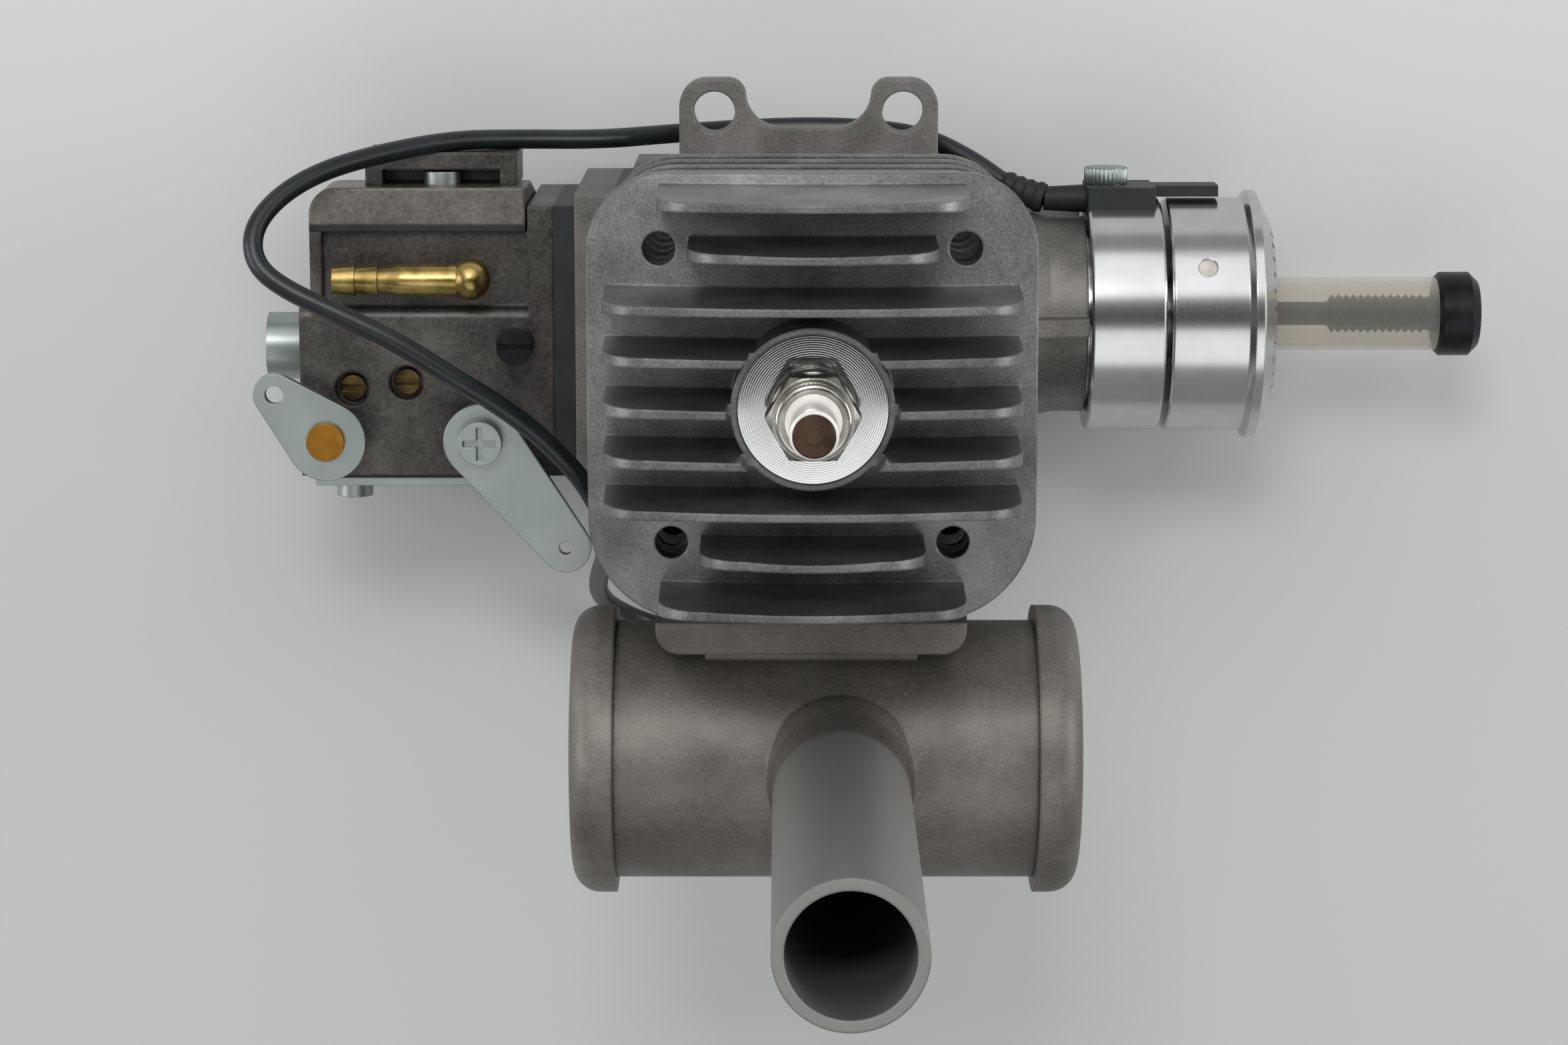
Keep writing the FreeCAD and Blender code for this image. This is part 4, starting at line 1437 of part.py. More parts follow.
def choke_lever():
    plate = lever_arm(CHOKE_X, CHOKE_HUB_RADIUS, CHOKE_TIP_RADIUS, CHOKE_ARM_LENGTH, CHOKE_ARM_ANGLE)
    x, y = arm_point(CHOKE_X, CHOKE_ARM_LENGTH, CHOKE_ARM_ANGLE)
    tools = [rod_z(LEVER_Z - SKIN, LEVER_TOP_Z + SKIN, CHOKE_HOLE_RADIUS, x, y),
             rod_z(LEVER_Z - SKIN, LEVER_TOP_Z + SKIN, VALVE_SHAFT_RADIUS + SEAT_GAP, CHOKE_X,
                   CARB_BARREL_Y)]
    return cut_all(plate, tools)


def plate_slot(x, along_x):
    """The saw cut across a valve shaft that holds its plate."""
    long_side = CHOKE_BORE_RADIUS + SKIN
    thin_side = VALVE_PLATE_THICKNESS / 2 + SEAT_GAP
    half_x, half_y = (long_side, thin_side) if along_x else (thin_side, long_side)
    return box(x - half_x, x + half_x, CARB_BARREL_Y - half_y, CARB_BARREL_Y + half_y,
               CARB_BARREL_Z - CHOKE_BORE_RADIUS, CARB_BARREL_Z + CHOKE_BORE_RADIUS)


def throttle_shaft():
    foot_z = CARB_BOTTOM_Z - SHAFT_FOOT_LENGTH
    shaft = rod_z(foot_z, LEVER_Z, VALVE_SHAFT_RADIUS, THROTTLE_X, CARB_BARREL_Y)
    tapped = rod_z(LEVER_Z - LEVER_SCREW_GRIP, LEVER_Z + SKIN, LEVER_SCREW_SHANK + SEAT_GAP, THROTTLE_X,
                   CARB_BARREL_Y)
    return cut_all(shaft, [tapped, plate_slot(THROTTLE_X, False)])


def throttle_plate():
    half = VALVE_PLATE_THICKNESS / 2
    return rod_x(THROTTLE_X - half, THROTTLE_X + half, THROTTLE_BORE_RADIUS - VALVE_PLATE_GAP,
                 CARB_BARREL_Y, CARB_BARREL_Z)


def throttle_screw():
    top = LEVER_TOP_Z + LEVER_SCREW_HEIGHT
    head = rod_z(LEVER_TOP_Z, top, LEVER_SCREW_RADIUS, THROTTLE_X, CARB_BARREL_Y)
    shank = rod_z(LEVER_Z - LEVER_SCREW_GRIP, LEVER_TOP_Z + SKIN, LEVER_SCREW_SHANK, THROTTLE_X,
                  CARB_BARREL_Y)
    reach = LEVER_SCREW_RADIUS * CROSS_SHARE
    cross = box(THROTTLE_X - reach, THROTTLE_X + reach, CARB_BARREL_Y - SLOT_WIDTH / 2,
                CARB_BARREL_Y + SLOT_WIDTH / 2, top - SLOT_DEPTH, top + SKIN)
    crossed = turned(cross, 90, Z_DIR, Vector(THROTTLE_X, CARB_BARREL_Y, 0))
    return cut_all(fuse_all([head, shank]), [cross, crossed])


def choke_shaft():
    shaft = rod_z(CARB_BOTTOM_Z - SHAFT_FOOT_LENGTH, LEVER_TOP_Z + SKIN / 2, VALVE_SHAFT_RADIUS, CHOKE_X,
                  CARB_BARREL_Y)
    rivet = rod_z(LEVER_TOP_Z, LEVER_TOP_Z + CHOKE_RIVET_HEIGHT, CHOKE_RIVET_RADIUS, CHOKE_X, CARB_BARREL_Y)
    return fuse_all([shaft, rivet]).cut(plate_slot(CHOKE_X, True))


def choke_plate():
    half = VALVE_PLATE_THICKNESS / 2
    return rod_y(CARB_BARREL_Y - half, CARB_BARREL_Y + half, CHOKE_BORE_RADIUS - VALVE_PLATE_GAP, CHOKE_X,
                 CARB_BARREL_Z)


def needle_room(place):
    """What a mixture needle takes out of the casting: a well and the bores of its head and stem."""
    x, y = place
    head_z = CARB_TOP_Z - NEEDLE_HEAD_DEPTH - RUNNING_FIT
    foot_z = CARB_TOP_Z - NEEDLE_LENGTH - RUNNING_FIT
    well = rod_z(CARB_TOP_Z - NEEDLE_WELL_DEPTH, CARB_TOP_Z + SKIN, NEEDLE_WELL_RADIUS, x, y)
    wide = rod_z(head_z, CARB_TOP_Z, NEEDLE_RADIUS + RUNNING_FIT, x, y)
    narrow = rod_z(foot_z, CARB_TOP_Z, NEEDLE_STEM_RADIUS + RUNNING_FIT, x, y)
    return fuse_all([well, wide, narrow])


def mixture_needle(place):
    x, y = place
    top = CARB_TOP_Z - NEEDLE_SINK
    head = rod_z(CARB_TOP_Z - NEEDLE_HEAD_DEPTH, top, NEEDLE_RADIUS, x, y)
    stem = rod_z(CARB_TOP_Z - NEEDLE_LENGTH, top - SLOT_DEPTH, NEEDLE_STEM_RADIUS, x, y)
    slot = box(x - NEEDLE_RADIUS - SKIN, x + NEEDLE_RADIUS + SKIN, y - SLOT_WIDTH / 2, y + SLOT_WIDTH / 2,
               top - SLOT_DEPTH, top + SKIN)
    return head.fuse(stem).cut(slot)


def high_needle():
    return mixture_needle(HIGH_NEEDLE)


def low_needle():
    return mixture_needle(LOW_NEEDLE)


def idle_screw():
    top = CARB_TOP_Z + IDLE_SCREW_RISE
    shank = rod_z(CARB_TOP_Z - IDLE_SCREW_DEPTH, top, IDLE_SCREW_RADIUS, IDLE_SCREW_X, IDLE_SCREW_Y)
    head = rod_z(top - IDLE_HEAD_HEIGHT, top, IDLE_HEAD_RADIUS, IDLE_SCREW_X, IDLE_SCREW_Y)
    slot = box(IDLE_SCREW_X - IDLE_HEAD_RADIUS - SKIN, IDLE_SCREW_X + IDLE_HEAD_RADIUS + SKIN,
               IDLE_SCREW_Y - SLOT_WIDTH / 2, IDLE_SCREW_Y + SLOT_WIDTH / 2, top - SLOT_DEPTH, top + SKIN)
    return head.fuse(shank).cut(slot)


def idle_spring():
    """The coil spring under the idle screw's head, as the tube that its wire fills."""
    top = CARB_TOP_Z + IDLE_SCREW_RISE - IDLE_HEAD_HEIGHT - BODY_GAP
    sleeve = rod_z(CARB_TOP_Z, top, IDLE_HEAD_RADIUS - SEAT_GAP, IDLE_SCREW_X, IDLE_SCREW_Y)
    inside = rod_z(CARB_TOP_Z - SKIN, top + SKIN, IDLE_SCREW_RADIUS + BODY_GAP, IDLE_SCREW_X, IDLE_SCREW_Y)
    return sleeve.cut(inside)


# ---- all pieces ----------------------------------------------------------
PIECES = (
    crankcase, nose_ring, cylinder, base_gasket, cylinder_bolts, bearing_outer_races, bearing_inner_races,
    bearing_balls, shaft_seal, crankshaft, prop_driver, timing_magnet, prop_bolt, bolt_sleeve,
    piston, piston_ring, wrist_pin, pin_circlips, connecting_rod, crankpin,
    muffler_body, muffler_end_caps, muffler_gasket, muffler_screws,
    plug_shell, plug_washer, plug_insulator, plug_terminal,
    sensor_housing, sensor_screw, sensor_gland, sensor_lead, lead_plug,
    intake_gasket, reed_manifold, manifold_screws, reed_petals, carb_insulator,
    carb_body, pump_cover, pump_gasket, pump_bracket, metering_cover, metering_diaphragm, cover_screws,
    fuel_barb, carb_bolts, throttle_shaft, throttle_plate, throttle_lever, throttle_screw,
    choke_shaft, choke_plate, choke_lever, high_needle, low_needle, idle_screw, idle_spring,
)

os.makedirs("parts", exist_ok=True)
for piece in PIECES:
    shape = piece()
    solids = len(shape.Solids)
    print("%-20s %2d solids  %10.2f mm3  %s" % (piece.__name__, solids, shape.Volume, shape.isValid()))
    shape.exportStep("parts/" + piece.__name__ + ".step")
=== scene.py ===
"""Dressed model of a small single-cylinder two-stroke petrol engine for a model aircraft.

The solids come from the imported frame. This file gives each of them its finish, adds the pieces that
only the eye needs (the faced plug seat, the plug's rolled collar, the sensor screw's knurl, a coil
spring, the sensor lead's true curve and its strain relief) and sets the stage. Sizes are in
millimetres and meshes in metres, in the engine's own frame: +X to the propeller, +Z up the cylinder.
"""

import json
import logging
import math
from dataclasses import dataclass, field
from enum import Enum

import bmesh
import bpy
import numpy as np
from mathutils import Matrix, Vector

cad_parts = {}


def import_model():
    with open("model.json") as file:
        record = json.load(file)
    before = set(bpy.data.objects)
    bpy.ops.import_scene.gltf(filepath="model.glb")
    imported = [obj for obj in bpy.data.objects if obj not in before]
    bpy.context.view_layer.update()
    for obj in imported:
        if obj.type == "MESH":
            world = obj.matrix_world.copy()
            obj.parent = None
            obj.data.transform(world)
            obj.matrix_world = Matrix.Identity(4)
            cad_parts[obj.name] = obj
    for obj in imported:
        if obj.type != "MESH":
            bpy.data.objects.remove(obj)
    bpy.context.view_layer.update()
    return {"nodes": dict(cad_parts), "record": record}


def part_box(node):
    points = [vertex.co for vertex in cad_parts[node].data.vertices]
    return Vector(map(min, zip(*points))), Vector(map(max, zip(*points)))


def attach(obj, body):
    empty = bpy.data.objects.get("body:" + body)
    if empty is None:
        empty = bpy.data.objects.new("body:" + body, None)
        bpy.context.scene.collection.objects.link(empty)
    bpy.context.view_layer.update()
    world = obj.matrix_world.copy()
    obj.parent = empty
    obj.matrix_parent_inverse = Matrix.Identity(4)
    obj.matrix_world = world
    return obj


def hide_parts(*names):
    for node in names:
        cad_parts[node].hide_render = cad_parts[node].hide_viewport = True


LOG = logging.getLogger("engine")
MM = 0.001
WAVE_PERIOD = math.pi / 10     # a wave texture repeats once in this much of its scaled coordinate
EDGE_SAMPLES = 4               # rays that find the edges which a finish rounds

NodeTree = bpy.types.NodeTree
Node = bpy.types.Node
Socket = bpy.types.NodeSocket
Material = bpy.types.Material
Piece = bpy.types.Object
Point = tuple[float, float, float]


class Axis(Enum):
    """The direction that a turned or ground pattern runs around."""

    X = 0
    Y = 1
    Z = 2


# ---- materials -------------------------------------------------------------
def linear(hex_colour: str) -> tuple[float, float, float, float]:
    """Turn an sRGB hex colour into a linear one.

    Args:
        hex_colour: six hex digits after a hash sign.

    Returns:
        Red, green, blue and an alpha of one.
    """
    values = [int(hex_colour[i:i + 2], 16) / 255 for i in (1, 3, 5)]
    curve = [v / 12.92 if v <= 0.04045 else ((v + 0.055) / 1.055) ** 2.4 for v in values]
    return (*curve, 1.0)


def per_metre(size_mm: float) -> float:
    """Return the pattern scale that repeats once in a size given in millimetres."""
    return 1.0 / (size_mm * MM)


def add(tree: NodeTree, kind: str, settings: dict | None = None, links: dict | None = None) -> Node:
    """Add a shader node.

    Args:
        tree: the material's node tree.
        kind: the node's type name without its ShaderNode prefix.
        settings: node properties by name, or input values by input name or number.
        links: sockets to plug in, by input name or number.

    Returns:
        The new node.
    """
    node = tree.nodes.new("ShaderNode" + kind)
    for key, value in (settings or {}).items():
        if isinstance(key, str) and hasattr(node, key):
            setattr(node, key, value)
        else:
            node.inputs[key].default_value = value
    for key, socket in (links or {}).items():
        tree.links.new(socket, node.inputs[key])
    return node


def ramp(tree: NodeTree, fac: Socket, stops: tuple[tuple[float, str], ...]) -> Socket:
    """Spread a value over a few colours.

    Args:
        tree: the material's node tree.
        fac: the value, from nought to one.
        stops: pairs of position and sRGB hex colour.

    Returns:
        The colour socket.
    """
    node = add(tree, "ValToRGB", links={"Fac": fac})
    elements = node.color_ramp.elements
    while len(elements) < len(stops):
        elements.new(0.5)
    for element, (position, colour) in zip(elements, stops):
        element.position = position
        element.color = linear(colour)
    return node.outputs["Color"]


def new_material(name: str) -> tuple[Material, NodeTree, Node]:
    """Make an empty material with a Principled surface.

    Args:
        name: the finish's plain name.

    Returns:
        The material, its tree and its Principled node.
    """
    material = bpy.data.materials.new(name)
    material.use_nodes = True
    tree = material.node_tree
    tree.nodes.clear()
    surface = add(tree, "BsdfPrincipled")
    output = add(tree, "OutputMaterial", links={"Surface": surface.outputs[0]})
    output.is_active_output = True
    return material, tree, surface


def sheen(tree: NodeTree, surface: Node, fac: Socket, low: float, high: float) -> None:
    """Let the roughness follow a pattern.

    Args:
        tree: the material's node tree.
        surface: its Principled node.
        fac: the pattern, from nought to one.
        low: the roughness where the pattern is nought.
        high: the roughness where the pattern is one.
    """
    rough = add(tree, "MapRange", {"To Min": low, "To Max": high}, {"Value": fac})
    tree.links.new(rough.outputs[0], surface.inputs["Roughness"])


def skin(tree: NodeTree, surface: Node, height: Socket, strength: float, depth_mm: float,
         edge_mm: float) -> None:
    """Raise a pattern on the surface and round off the piece's edges.

    Args:
        tree: the material's node tree.
        surface: its Principled node.
        height: the pattern, from nought to one.
        strength: how strongly the pattern bends the light.
        depth_mm: how deep the pattern is.
        edge_mm: the radius of the round on the edges.
    """
    edge = add(tree, "Bevel", {"samples": EDGE_SAMPLES, "Radius": edge_mm * MM})
    bump = add(tree, "Bump", {"Strength": strength, "Distance": depth_mm * MM},
               {"Height": height, "Normal": edge.outputs["Normal"]})
    tree.links.new(bump.outputs["Normal"], surface.inputs["Normal"])


@dataclass(frozen=True)
class CastMetal:
    """Aluminium or zinc, cast and blasted with grit.

    The grit leaves a dull grey skin with a fine sparkle, slightly darker in patches where it was
    handled, and a soft round on each edge.
    """

    name: str
    dark: str
    middle: str
    light: str
    grit_mm: float = 0.35
    patch_mm: float = 9.0
    roughness: float = 0.56
    metallic: float = 0.85
    edge_mm: float = 0.5
    depth_mm: float = 0.05
    grit_share: float = 0.42
    worked: str = ""
    worked_z_mm: float = 0.0
    worked_fade_mm: float = 1.0

    def build(self) -> Material:
        """Return the material.

        Where worked has a colour, the metal above worked_z_mm was turned clean and takes it.
        """
        material, tree, surface = new_material(self.name)
        place = add(tree, "TexCoord").outputs["Object"]
        patch = add(tree, "TexNoise", {"Scale": per_metre(self.patch_mm), "Detail": 4.0,
                                       "Roughness": 0.6}, {"Vector": place}).outputs["Fac"]
        grit = add(tree, "TexNoise", {"Scale": per_metre(self.grit_mm), "Detail": 3.0,
                                      "Roughness": 0.65}, {"Vector": place}).outputs["Fac"]
        fine = add(tree, "Math", {"operation": "MULTIPLY", 1: self.grit_share}, {0: grit})
        both = add(tree, "Math", {"operation": "MULTIPLY_ADD", 1: 1 - self.grit_share},
                   {0: patch, 2: fine.outputs[0]})
        colour = ramp(tree, both.outputs[0], ((0.36, self.dark), (0.5, self.middle), (0.66, self.light)))
        if self.worked:
            height = add(tree, "SeparateXYZ", links={0: place}).outputs["Z"]
            above = add(tree, "MapRange", {"From Min": (self.worked_z_mm - self.worked_fade_mm) * MM,
                                           "From Max": (self.worked_z_mm + self.worked_fade_mm) * MM},
                        {"Value": height})
            mixed = add(tree, "Mix", {"data_type": "RGBA", 7: linear(self.worked)},
                        {0: above.outputs[0], 6: colour})
            colour = mixed.outputs[2]
        tree.links.new(colour, surface.inputs["Base Color"])
        sheen(tree, surface, grit, self.roughness - 0.09, self.roughness + 0.1)
        skin(tree, surface, grit, 0.5, self.depth_mm, self.edge_mm)
        surface.inputs["Metallic"].default_value = self.metallic
        return material


@dataclass(frozen=True)
class TurnedMetal:
    """Aluminium or steel, turned on a lathe.

    The tool leaves fine rings about the piece's axis, which draw a highlight out across them.
    """

    name: str
    dark: str
    light: str
    axis: Axis
    pitch_mm: float = 0.28
    roughness: float = 0.2
    anisotropic: float = 0.6
    edge_mm: float = 0.3
    groove: float = 0.12
    groove_mm: float = 0.01
    cloud_mm: float = 6.0

    def build(self) -> Material:
        """Return the material."""
        material, tree, surface = new_material(self.name)
        place = add(tree, "TexCoord").outputs["Object"]
        rings, bands = (
            add(tree, "TexWave", {"wave_type": kind, direction: self.axis.name,
                                  "Scale": per_metre(self.pitch_mm) * WAVE_PERIOD,
                                  "Distortion": 0.4, "Detail": 1.0, "Detail Scale": 2.0},
                {"Vector": place}).outputs["Fac"]
            for kind, direction in (("RINGS", "rings_direction"), ("BANDS", "bands_direction")))
        lines = add(tree, "Math", {"operation": "ADD"}, {0: rings, 1: bands})
        half = add(tree, "Math", {"operation": "MULTIPLY", 1: 0.5}, {0: lines.outputs[0]}).outputs[0]
        cloud = add(tree, "TexNoise", {"Scale": per_metre(self.cloud_mm), "Detail": 3.0}, {"Vector": place})
        colour = ramp(tree, cloud.outputs["Fac"], ((0.35, self.dark), (0.65, self.light)))
        tree.links.new(colour, surface.inputs["Base Color"])
        sheen(tree, surface, half, self.roughness - 0.04, self.roughness + 0.06)
        skin(tree, surface, half, self.groove, self.groove_mm, self.edge_mm)
        tangent = add(tree, "Tangent", {"direction_type": "RADIAL", "axis": self.axis.name})
        tree.links.new(tangent.outputs[0], surface.inputs["Tangent"])
        surface.inputs["Metallic"].default_value = 1.0
        surface.inputs["Anisotropic"].default_value = self.anisotropic
        return material


@dataclass(frozen=True)
class PlatedMetal:
    """Steel or brass, stamped or drawn and then plated, tumbled or left bare.

    Plating follows the metal below, so the sheen is even, with faint clouds and small pits.
    """

    name: str
    dark: str
    light: str
    roughness: float = 0.3
    cloud_mm: float = 3.0
    pit_mm: float = 0.25
    pit_depth_mm: float = 0.015
    edge_mm: float = 0.25
    metallic: float = 1.0

    def build(self) -> Material:
        """Return the material."""
        material, tree, surface = new_material(self.name)
        place = add(tree, "TexCoord").outputs["Object"]
        cloud = add(tree, "TexNoise", {"Scale": per_metre(self.cloud_mm), "Detail": 5.0},
                    {"Vector": place}).outputs["Fac"]
        pits = add(tree, "TexNoise", {"Scale": per_metre(self.pit_mm), "Detail": 2.0},
                   {"Vector": place}).outputs["Fac"]
        colour = ramp(tree, cloud, ((0.35, self.dark), (0.62, self.light)))
        tree.links.new(colour, surface.inputs["Base Color"])
        sheen(tree, surface, cloud, self.roughness - 0.06, self.roughness + 0.1)
        skin(tree, surface, pits, 0.2, self.pit_depth_mm, self.edge_mm)
        surface.inputs["Metallic"].default_value = self.metallic
        return material


@dataclass(frozen=True)
class MouldedPlastic:
    """Phenolic, nylon or rubber, moulded.

    The mould leaves a fine texture and a dull or waxy sheen with no sparkle.
    """

    name: str
    dark: str
    light: str
    roughness: float = 0.5
    texture_mm: float = 0.4
    cloud_mm: float = 4.8
    depth_mm: float = 0.03
    edge_mm: float = 0.3

    def build(self) -> Material:
        """Return the material."""
        material, tree, surface = new_material(self.name)
        place = add(tree, "TexCoord").outputs["Object"]
        texture = add(tree, "TexNoise", {"Scale": per_metre(self.texture_mm), "Detail": 3.0},
                      {"Vector": place}).outputs["Fac"]
        cloud = add(tree, "TexNoise", {"Scale": per_metre(self.cloud_mm), "Detail": 3.0},
                    {"Vector": place})
        colour = ramp(tree, cloud.outputs["Fac"], ((0.35, self.dark), (0.65, self.light)))
        tree.links.new(colour, surface.inputs["Base Color"])
        sheen(tree, surface, texture, self.roughness - 0.07, self.roughness + 0.07)
        skin(tree, surface, texture, 0.3, self.depth_mm, self.edge_mm)
        return material


@dataclass(frozen=True)
class GlazedCeramic:
    """Alumina porcelain, pressed, fired and glazed: white, hard and wet-looking."""

    name: str = "glazed_alumina"
    body: str = "#f6f4f0"
    shade: str = "#ece9e3"

    def build(self) -> Material:
        """Return the material."""
        material, tree, surface = new_material(self.name)
        place = add(tree, "TexCoord").outputs["Object"]
        cloud = add(tree, "TexNoise", {"Scale": per_metre(2.5), "Detail": 3.0}, {"Vector": place})
        colour = ramp(tree, cloud.outputs["Fac"], ((0.3, self.shade), (0.6, self.body)))
        tree.links.new(colour, surface.inputs["Base Color"])
        ripple = add(tree, "Bump", {"Strength": 0.1, "Distance": 0.02 * MM},
                     {"Height": cloud.outputs["Fac"]})
        tree.links.new(ripple.outputs["Normal"], surface.inputs["Normal"])
        surface.inputs["Roughness"].default_value = 0.16
        surface.inputs["Coat Weight"].default_value = 0.5
        surface.inputs["Coat Roughness"].default_value = 0.04
        surface.inputs["Subsurface Weight"].default_value = 0.06
        surface.inputs["Subsurface Radius"].default_value = (0.001, 0.001, 0.0008)
        return material


@dataclass(frozen=True)
class ClearTube:
    """Soft clear vinyl, extruded thin: nearly invisible face on, with a glossy skin and draw lines."""

    name: str = "extruded_clear_vinyl"
    tint: str = "#f2f0ea"
    clear_share: float = 0.92
    rim_share: float = 0.35
    line_length_mm: float = 16.67
    line_width_mm: float = 0.8

    def build(self) -> Material:
        """Return the material."""
        material, tree, surface = new_material(self.name)
        place = add(tree, "TexCoord").outputs["Object"]
        across = per_metre(self.line_width_mm)
        drawn = add(tree, "Mapping", {"Scale": (per_metre(self.line_length_mm), across, across)},
                    {"Vector": place})
        lines = add(tree, "TexNoise", {"Scale": 1.0, "Detail": 3.0}, {"Vector": drawn.outputs[0]})
        bump = add(tree, "Bump", {"Strength": 0.25, "Distance": 0.04 * MM},
                   {"Height": lines.outputs["Fac"]})
        tree.links.new(bump.outputs["Normal"], surface.inputs["Normal"])
        surface.inputs["Base Color"].default_value = linear(self.tint)
        surface.inputs["Roughness"].default_value = 0.14
        clear = add(tree, "BsdfTransparent", {"Color": linear(self.tint)})
        rim = add(tree, "LayerWeight", {"Blend": 0.25}).outputs["Facing"]
        share = add(tree, "MapRange", {"To Min": self.clear_share, "To Max": self.rim_share}, {"Value": rim})
        mixed = add(tree, "MixShader",
                    links={0: share.outputs[0], 1: surface.outputs[0], 2: clear.outputs[0]})
        output = next(node for node in tree.nodes if node.bl_idname == "ShaderNodeOutputMaterial")
        tree.links.new(mixed.outputs[0], output.inputs["Surface"])
        return material


Finish = CastMetal | TurnedMetal | PlatedMetal | MouldedPlastic | GlazedCeramic | ClearTube


# ---- surfaces --------------------------------------------------------------
def grid_mesh(name: str, points: np.ndarray, close_u: bool, close_v: bool) -> Piece:
    """Make an object from a grid of points, joined into quads.

    Args:
        name: the piece's name.
        points: array of rows by columns by three, in metres.
        close_u: whether the last row joins the first.
        close_v: whether the last column joins the first.

    Returns:
        The object, shaded smooth, with doubled points merged and faces turned outwards.
    """
    rows, columns = points.shape[:2]
    index = np.arange(rows * columns).reshape(rows, columns)
    if close_u:
        index = np.concatenate([index, index[:1]], axis=0)
    if close_v:
        index = np.concatenate([index, index[:, :1]], axis=1)
    quads = np.stack([index[:-1, :-1], index[1:, :-1], index[1:, 1:], index[:-1, 1:]], axis=-1)
    mesh = bpy.data.meshes.new(name)
    mesh.from_pydata(points.reshape(-1, 3).tolist(), [], quads.reshape(-1, 4).tolist())
    tidy_mesh(mesh)
    piece = bpy.data.objects.new(name, mesh)
    bpy.context.scene.collection.objects.link(piece)
    return piece


def tidy_mesh(mesh: bpy.types.Mesh) -> None:
    """Merge doubled points, drop faces with no area, point the rest outwards and shade smooth."""
    work = bmesh.new()
    work.from_mesh(mesh)
    bmesh.ops.remove_doubles(work, verts=work.verts, dist=1e-7)
    bmesh.ops.dissolve_degenerate(work, edges=work.edges, dist=1e-8)
    bmesh.ops.recalc_face_normals(work, faces=work.faces)
    work.to_mesh(mesh)
    work.free()
    mesh.polygons.foreach_set("use_smooth", np.ones(len(mesh.polygons), dtype=bool))
    mesh.update()


def lathe(name: str, profile: list[tuple[float, float]], axis: Axis, centre: Point,
          steps: int = 96) -> Piece:
    """Turn a profile about an axis.

    Each profile point lies at its place along the axis and at its radius from it, at every angle of
    a full circle.

    Args:
        name: the piece's name.
        profile: pairs of place along the axis and radius, in millimetres.
        axis: the axis to turn about.
        centre: a point on the axis, in millimetres.
        steps: how many steps make the circle.

    Returns:
        The turned piece.
    """
    along, radius = np.array(profile).T
    angle = np.linspace(0, 2 * np.pi, steps, endpoint=False)
    other = [k for k in range(3) if k != axis.value]
    points = np.zeros((len(along), steps, 3))
    points[..., axis.value] = along[:, None]
    points[..., other[0]] = radius[:, None] * np.cos(angle)[None, :]
    points[..., other[1]] = radius[:, None] * np.sin(angle)[None, :]
    return grid_mesh(name, (points + np.array(centre)) * MM, False, True)


def frames_along(path: np.ndarray) -> tuple[np.ndarray, np.ndarray]:
    """Return two unit vectors square to a path at each of its points, in mm or metres alike."""
    tangent = np.gradient(path, axis=0)
    tangent /= np.linalg.norm(tangent, axis=1, keepdims=True)
    guide = np.array([0.0, 0.0, 1.0])
    side = np.cross(tangent, guide)
    side /= np.linalg.norm(side, axis=1, keepdims=True)
    return side, np.cross(side, tangent)


# ---- the sensor lead -------------------------------------------------------
@dataclass
class SensorLead:
    """The round black lead from the timing sensor, laid round the carburettor to its plug."""

    diameter: float = 2.6
    length: float = 254.3
    bend_steps: int = 8
    round_steps: int = 6
    route: tuple[Point, ...] = (
        (31.7, 15.6, -0.3), (27.6, 16.7, -1.1), (22.4, 20.4, -4.2), (15.5, 23.6, -7.0),
        (7.0, 24.5, -8.4), (-2.0, 24.6, -8.8), (-11.0, 24.2, -8.2), (-19.0, 23.8, -6.2),
        (-28.0, 23.4, -1.8), (-37.5, 24.0, 4.4), (-47.0, 24.3, 9.4), (-56.2, 22.9, 14.2),
        (-63.6, 21.0, 18.8), (-69.0, 17.8, 22.3), (-71.8, 13.8, 25.0), (-71.2, 9.6, 26.6),
        (-67.2, 6.6, 27.6), (-60.5, 3.6, 28.2), (-53.0, 0.0, 28.4), (-46.0, -4.6, 28.0),
        (-39.4, -8.8, 27.2), (-33.6, -13.6, 26.4), (-28.8, -19.4, 25.0), (-26.6, -26.0, 19.2),
        (-27.2, -31.4, 11.0), (-28.6, -35.8, 1.6), (-29.2, -40.0, -7.4), (-27.4, -43.8, -15.0),
        (-22.2, -47.2, -19.8), (-14.6, -49.4, -21.1), (-6.4, -50.2, -21.1), (1.6, -49.8, -21.1))

    def build(self, jacket: Material) -> Piece:
        """Lay the lead as a smooth curve through its route's control points.

        Args:
            jacket: the finish of its jacket.

        Returns:
            The lead.
        """
        curve = bpy.data.curves.new("lead_curve", "CURVE")
        curve.dimensions = "3D"
        spline = curve.splines.new("NURBS")
        spline.points.add(len(self.route) - 1)
        for point, place in zip(spline.points, self.route):
            point.co = (*(value * MM for value in place), 1.0)
        spline.order_u = 3
        spline.use_endpoint_u = True
        curve.resolution_u = self.bend_steps
        curve.bevel_depth = self.diameter / 2 * MM
        curve.bevel_resolution = self.round_steps
        curve.use_fill_caps = True
        curve.materials.append(jacket)
        lead = bpy.data.objects.new("lead_jacket", curve)
        bpy.context.scene.collection.objects.link(lead)
        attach(lead, "engine")
        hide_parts("sensor_lead")
        return lead

    def centreline(self, lead: Piece) -> np.ndarray:
        """Return the points of the lead's own line, in metres, from the sensor to the plug."""
        bare = lead.data.copy()
        bare.bevel_depth = 0.0
        holder = bpy.data.objects.new("lead_line", bare)
        mesh = bpy.data.meshes.new_from_object(holder)
        points = np.array([vertex.co for vertex in mesh.vertices])
        bpy.data.objects.remove(holder)
        bpy.data.meshes.remove(mesh)
        bpy.data.curves.remove(bare)
        return points


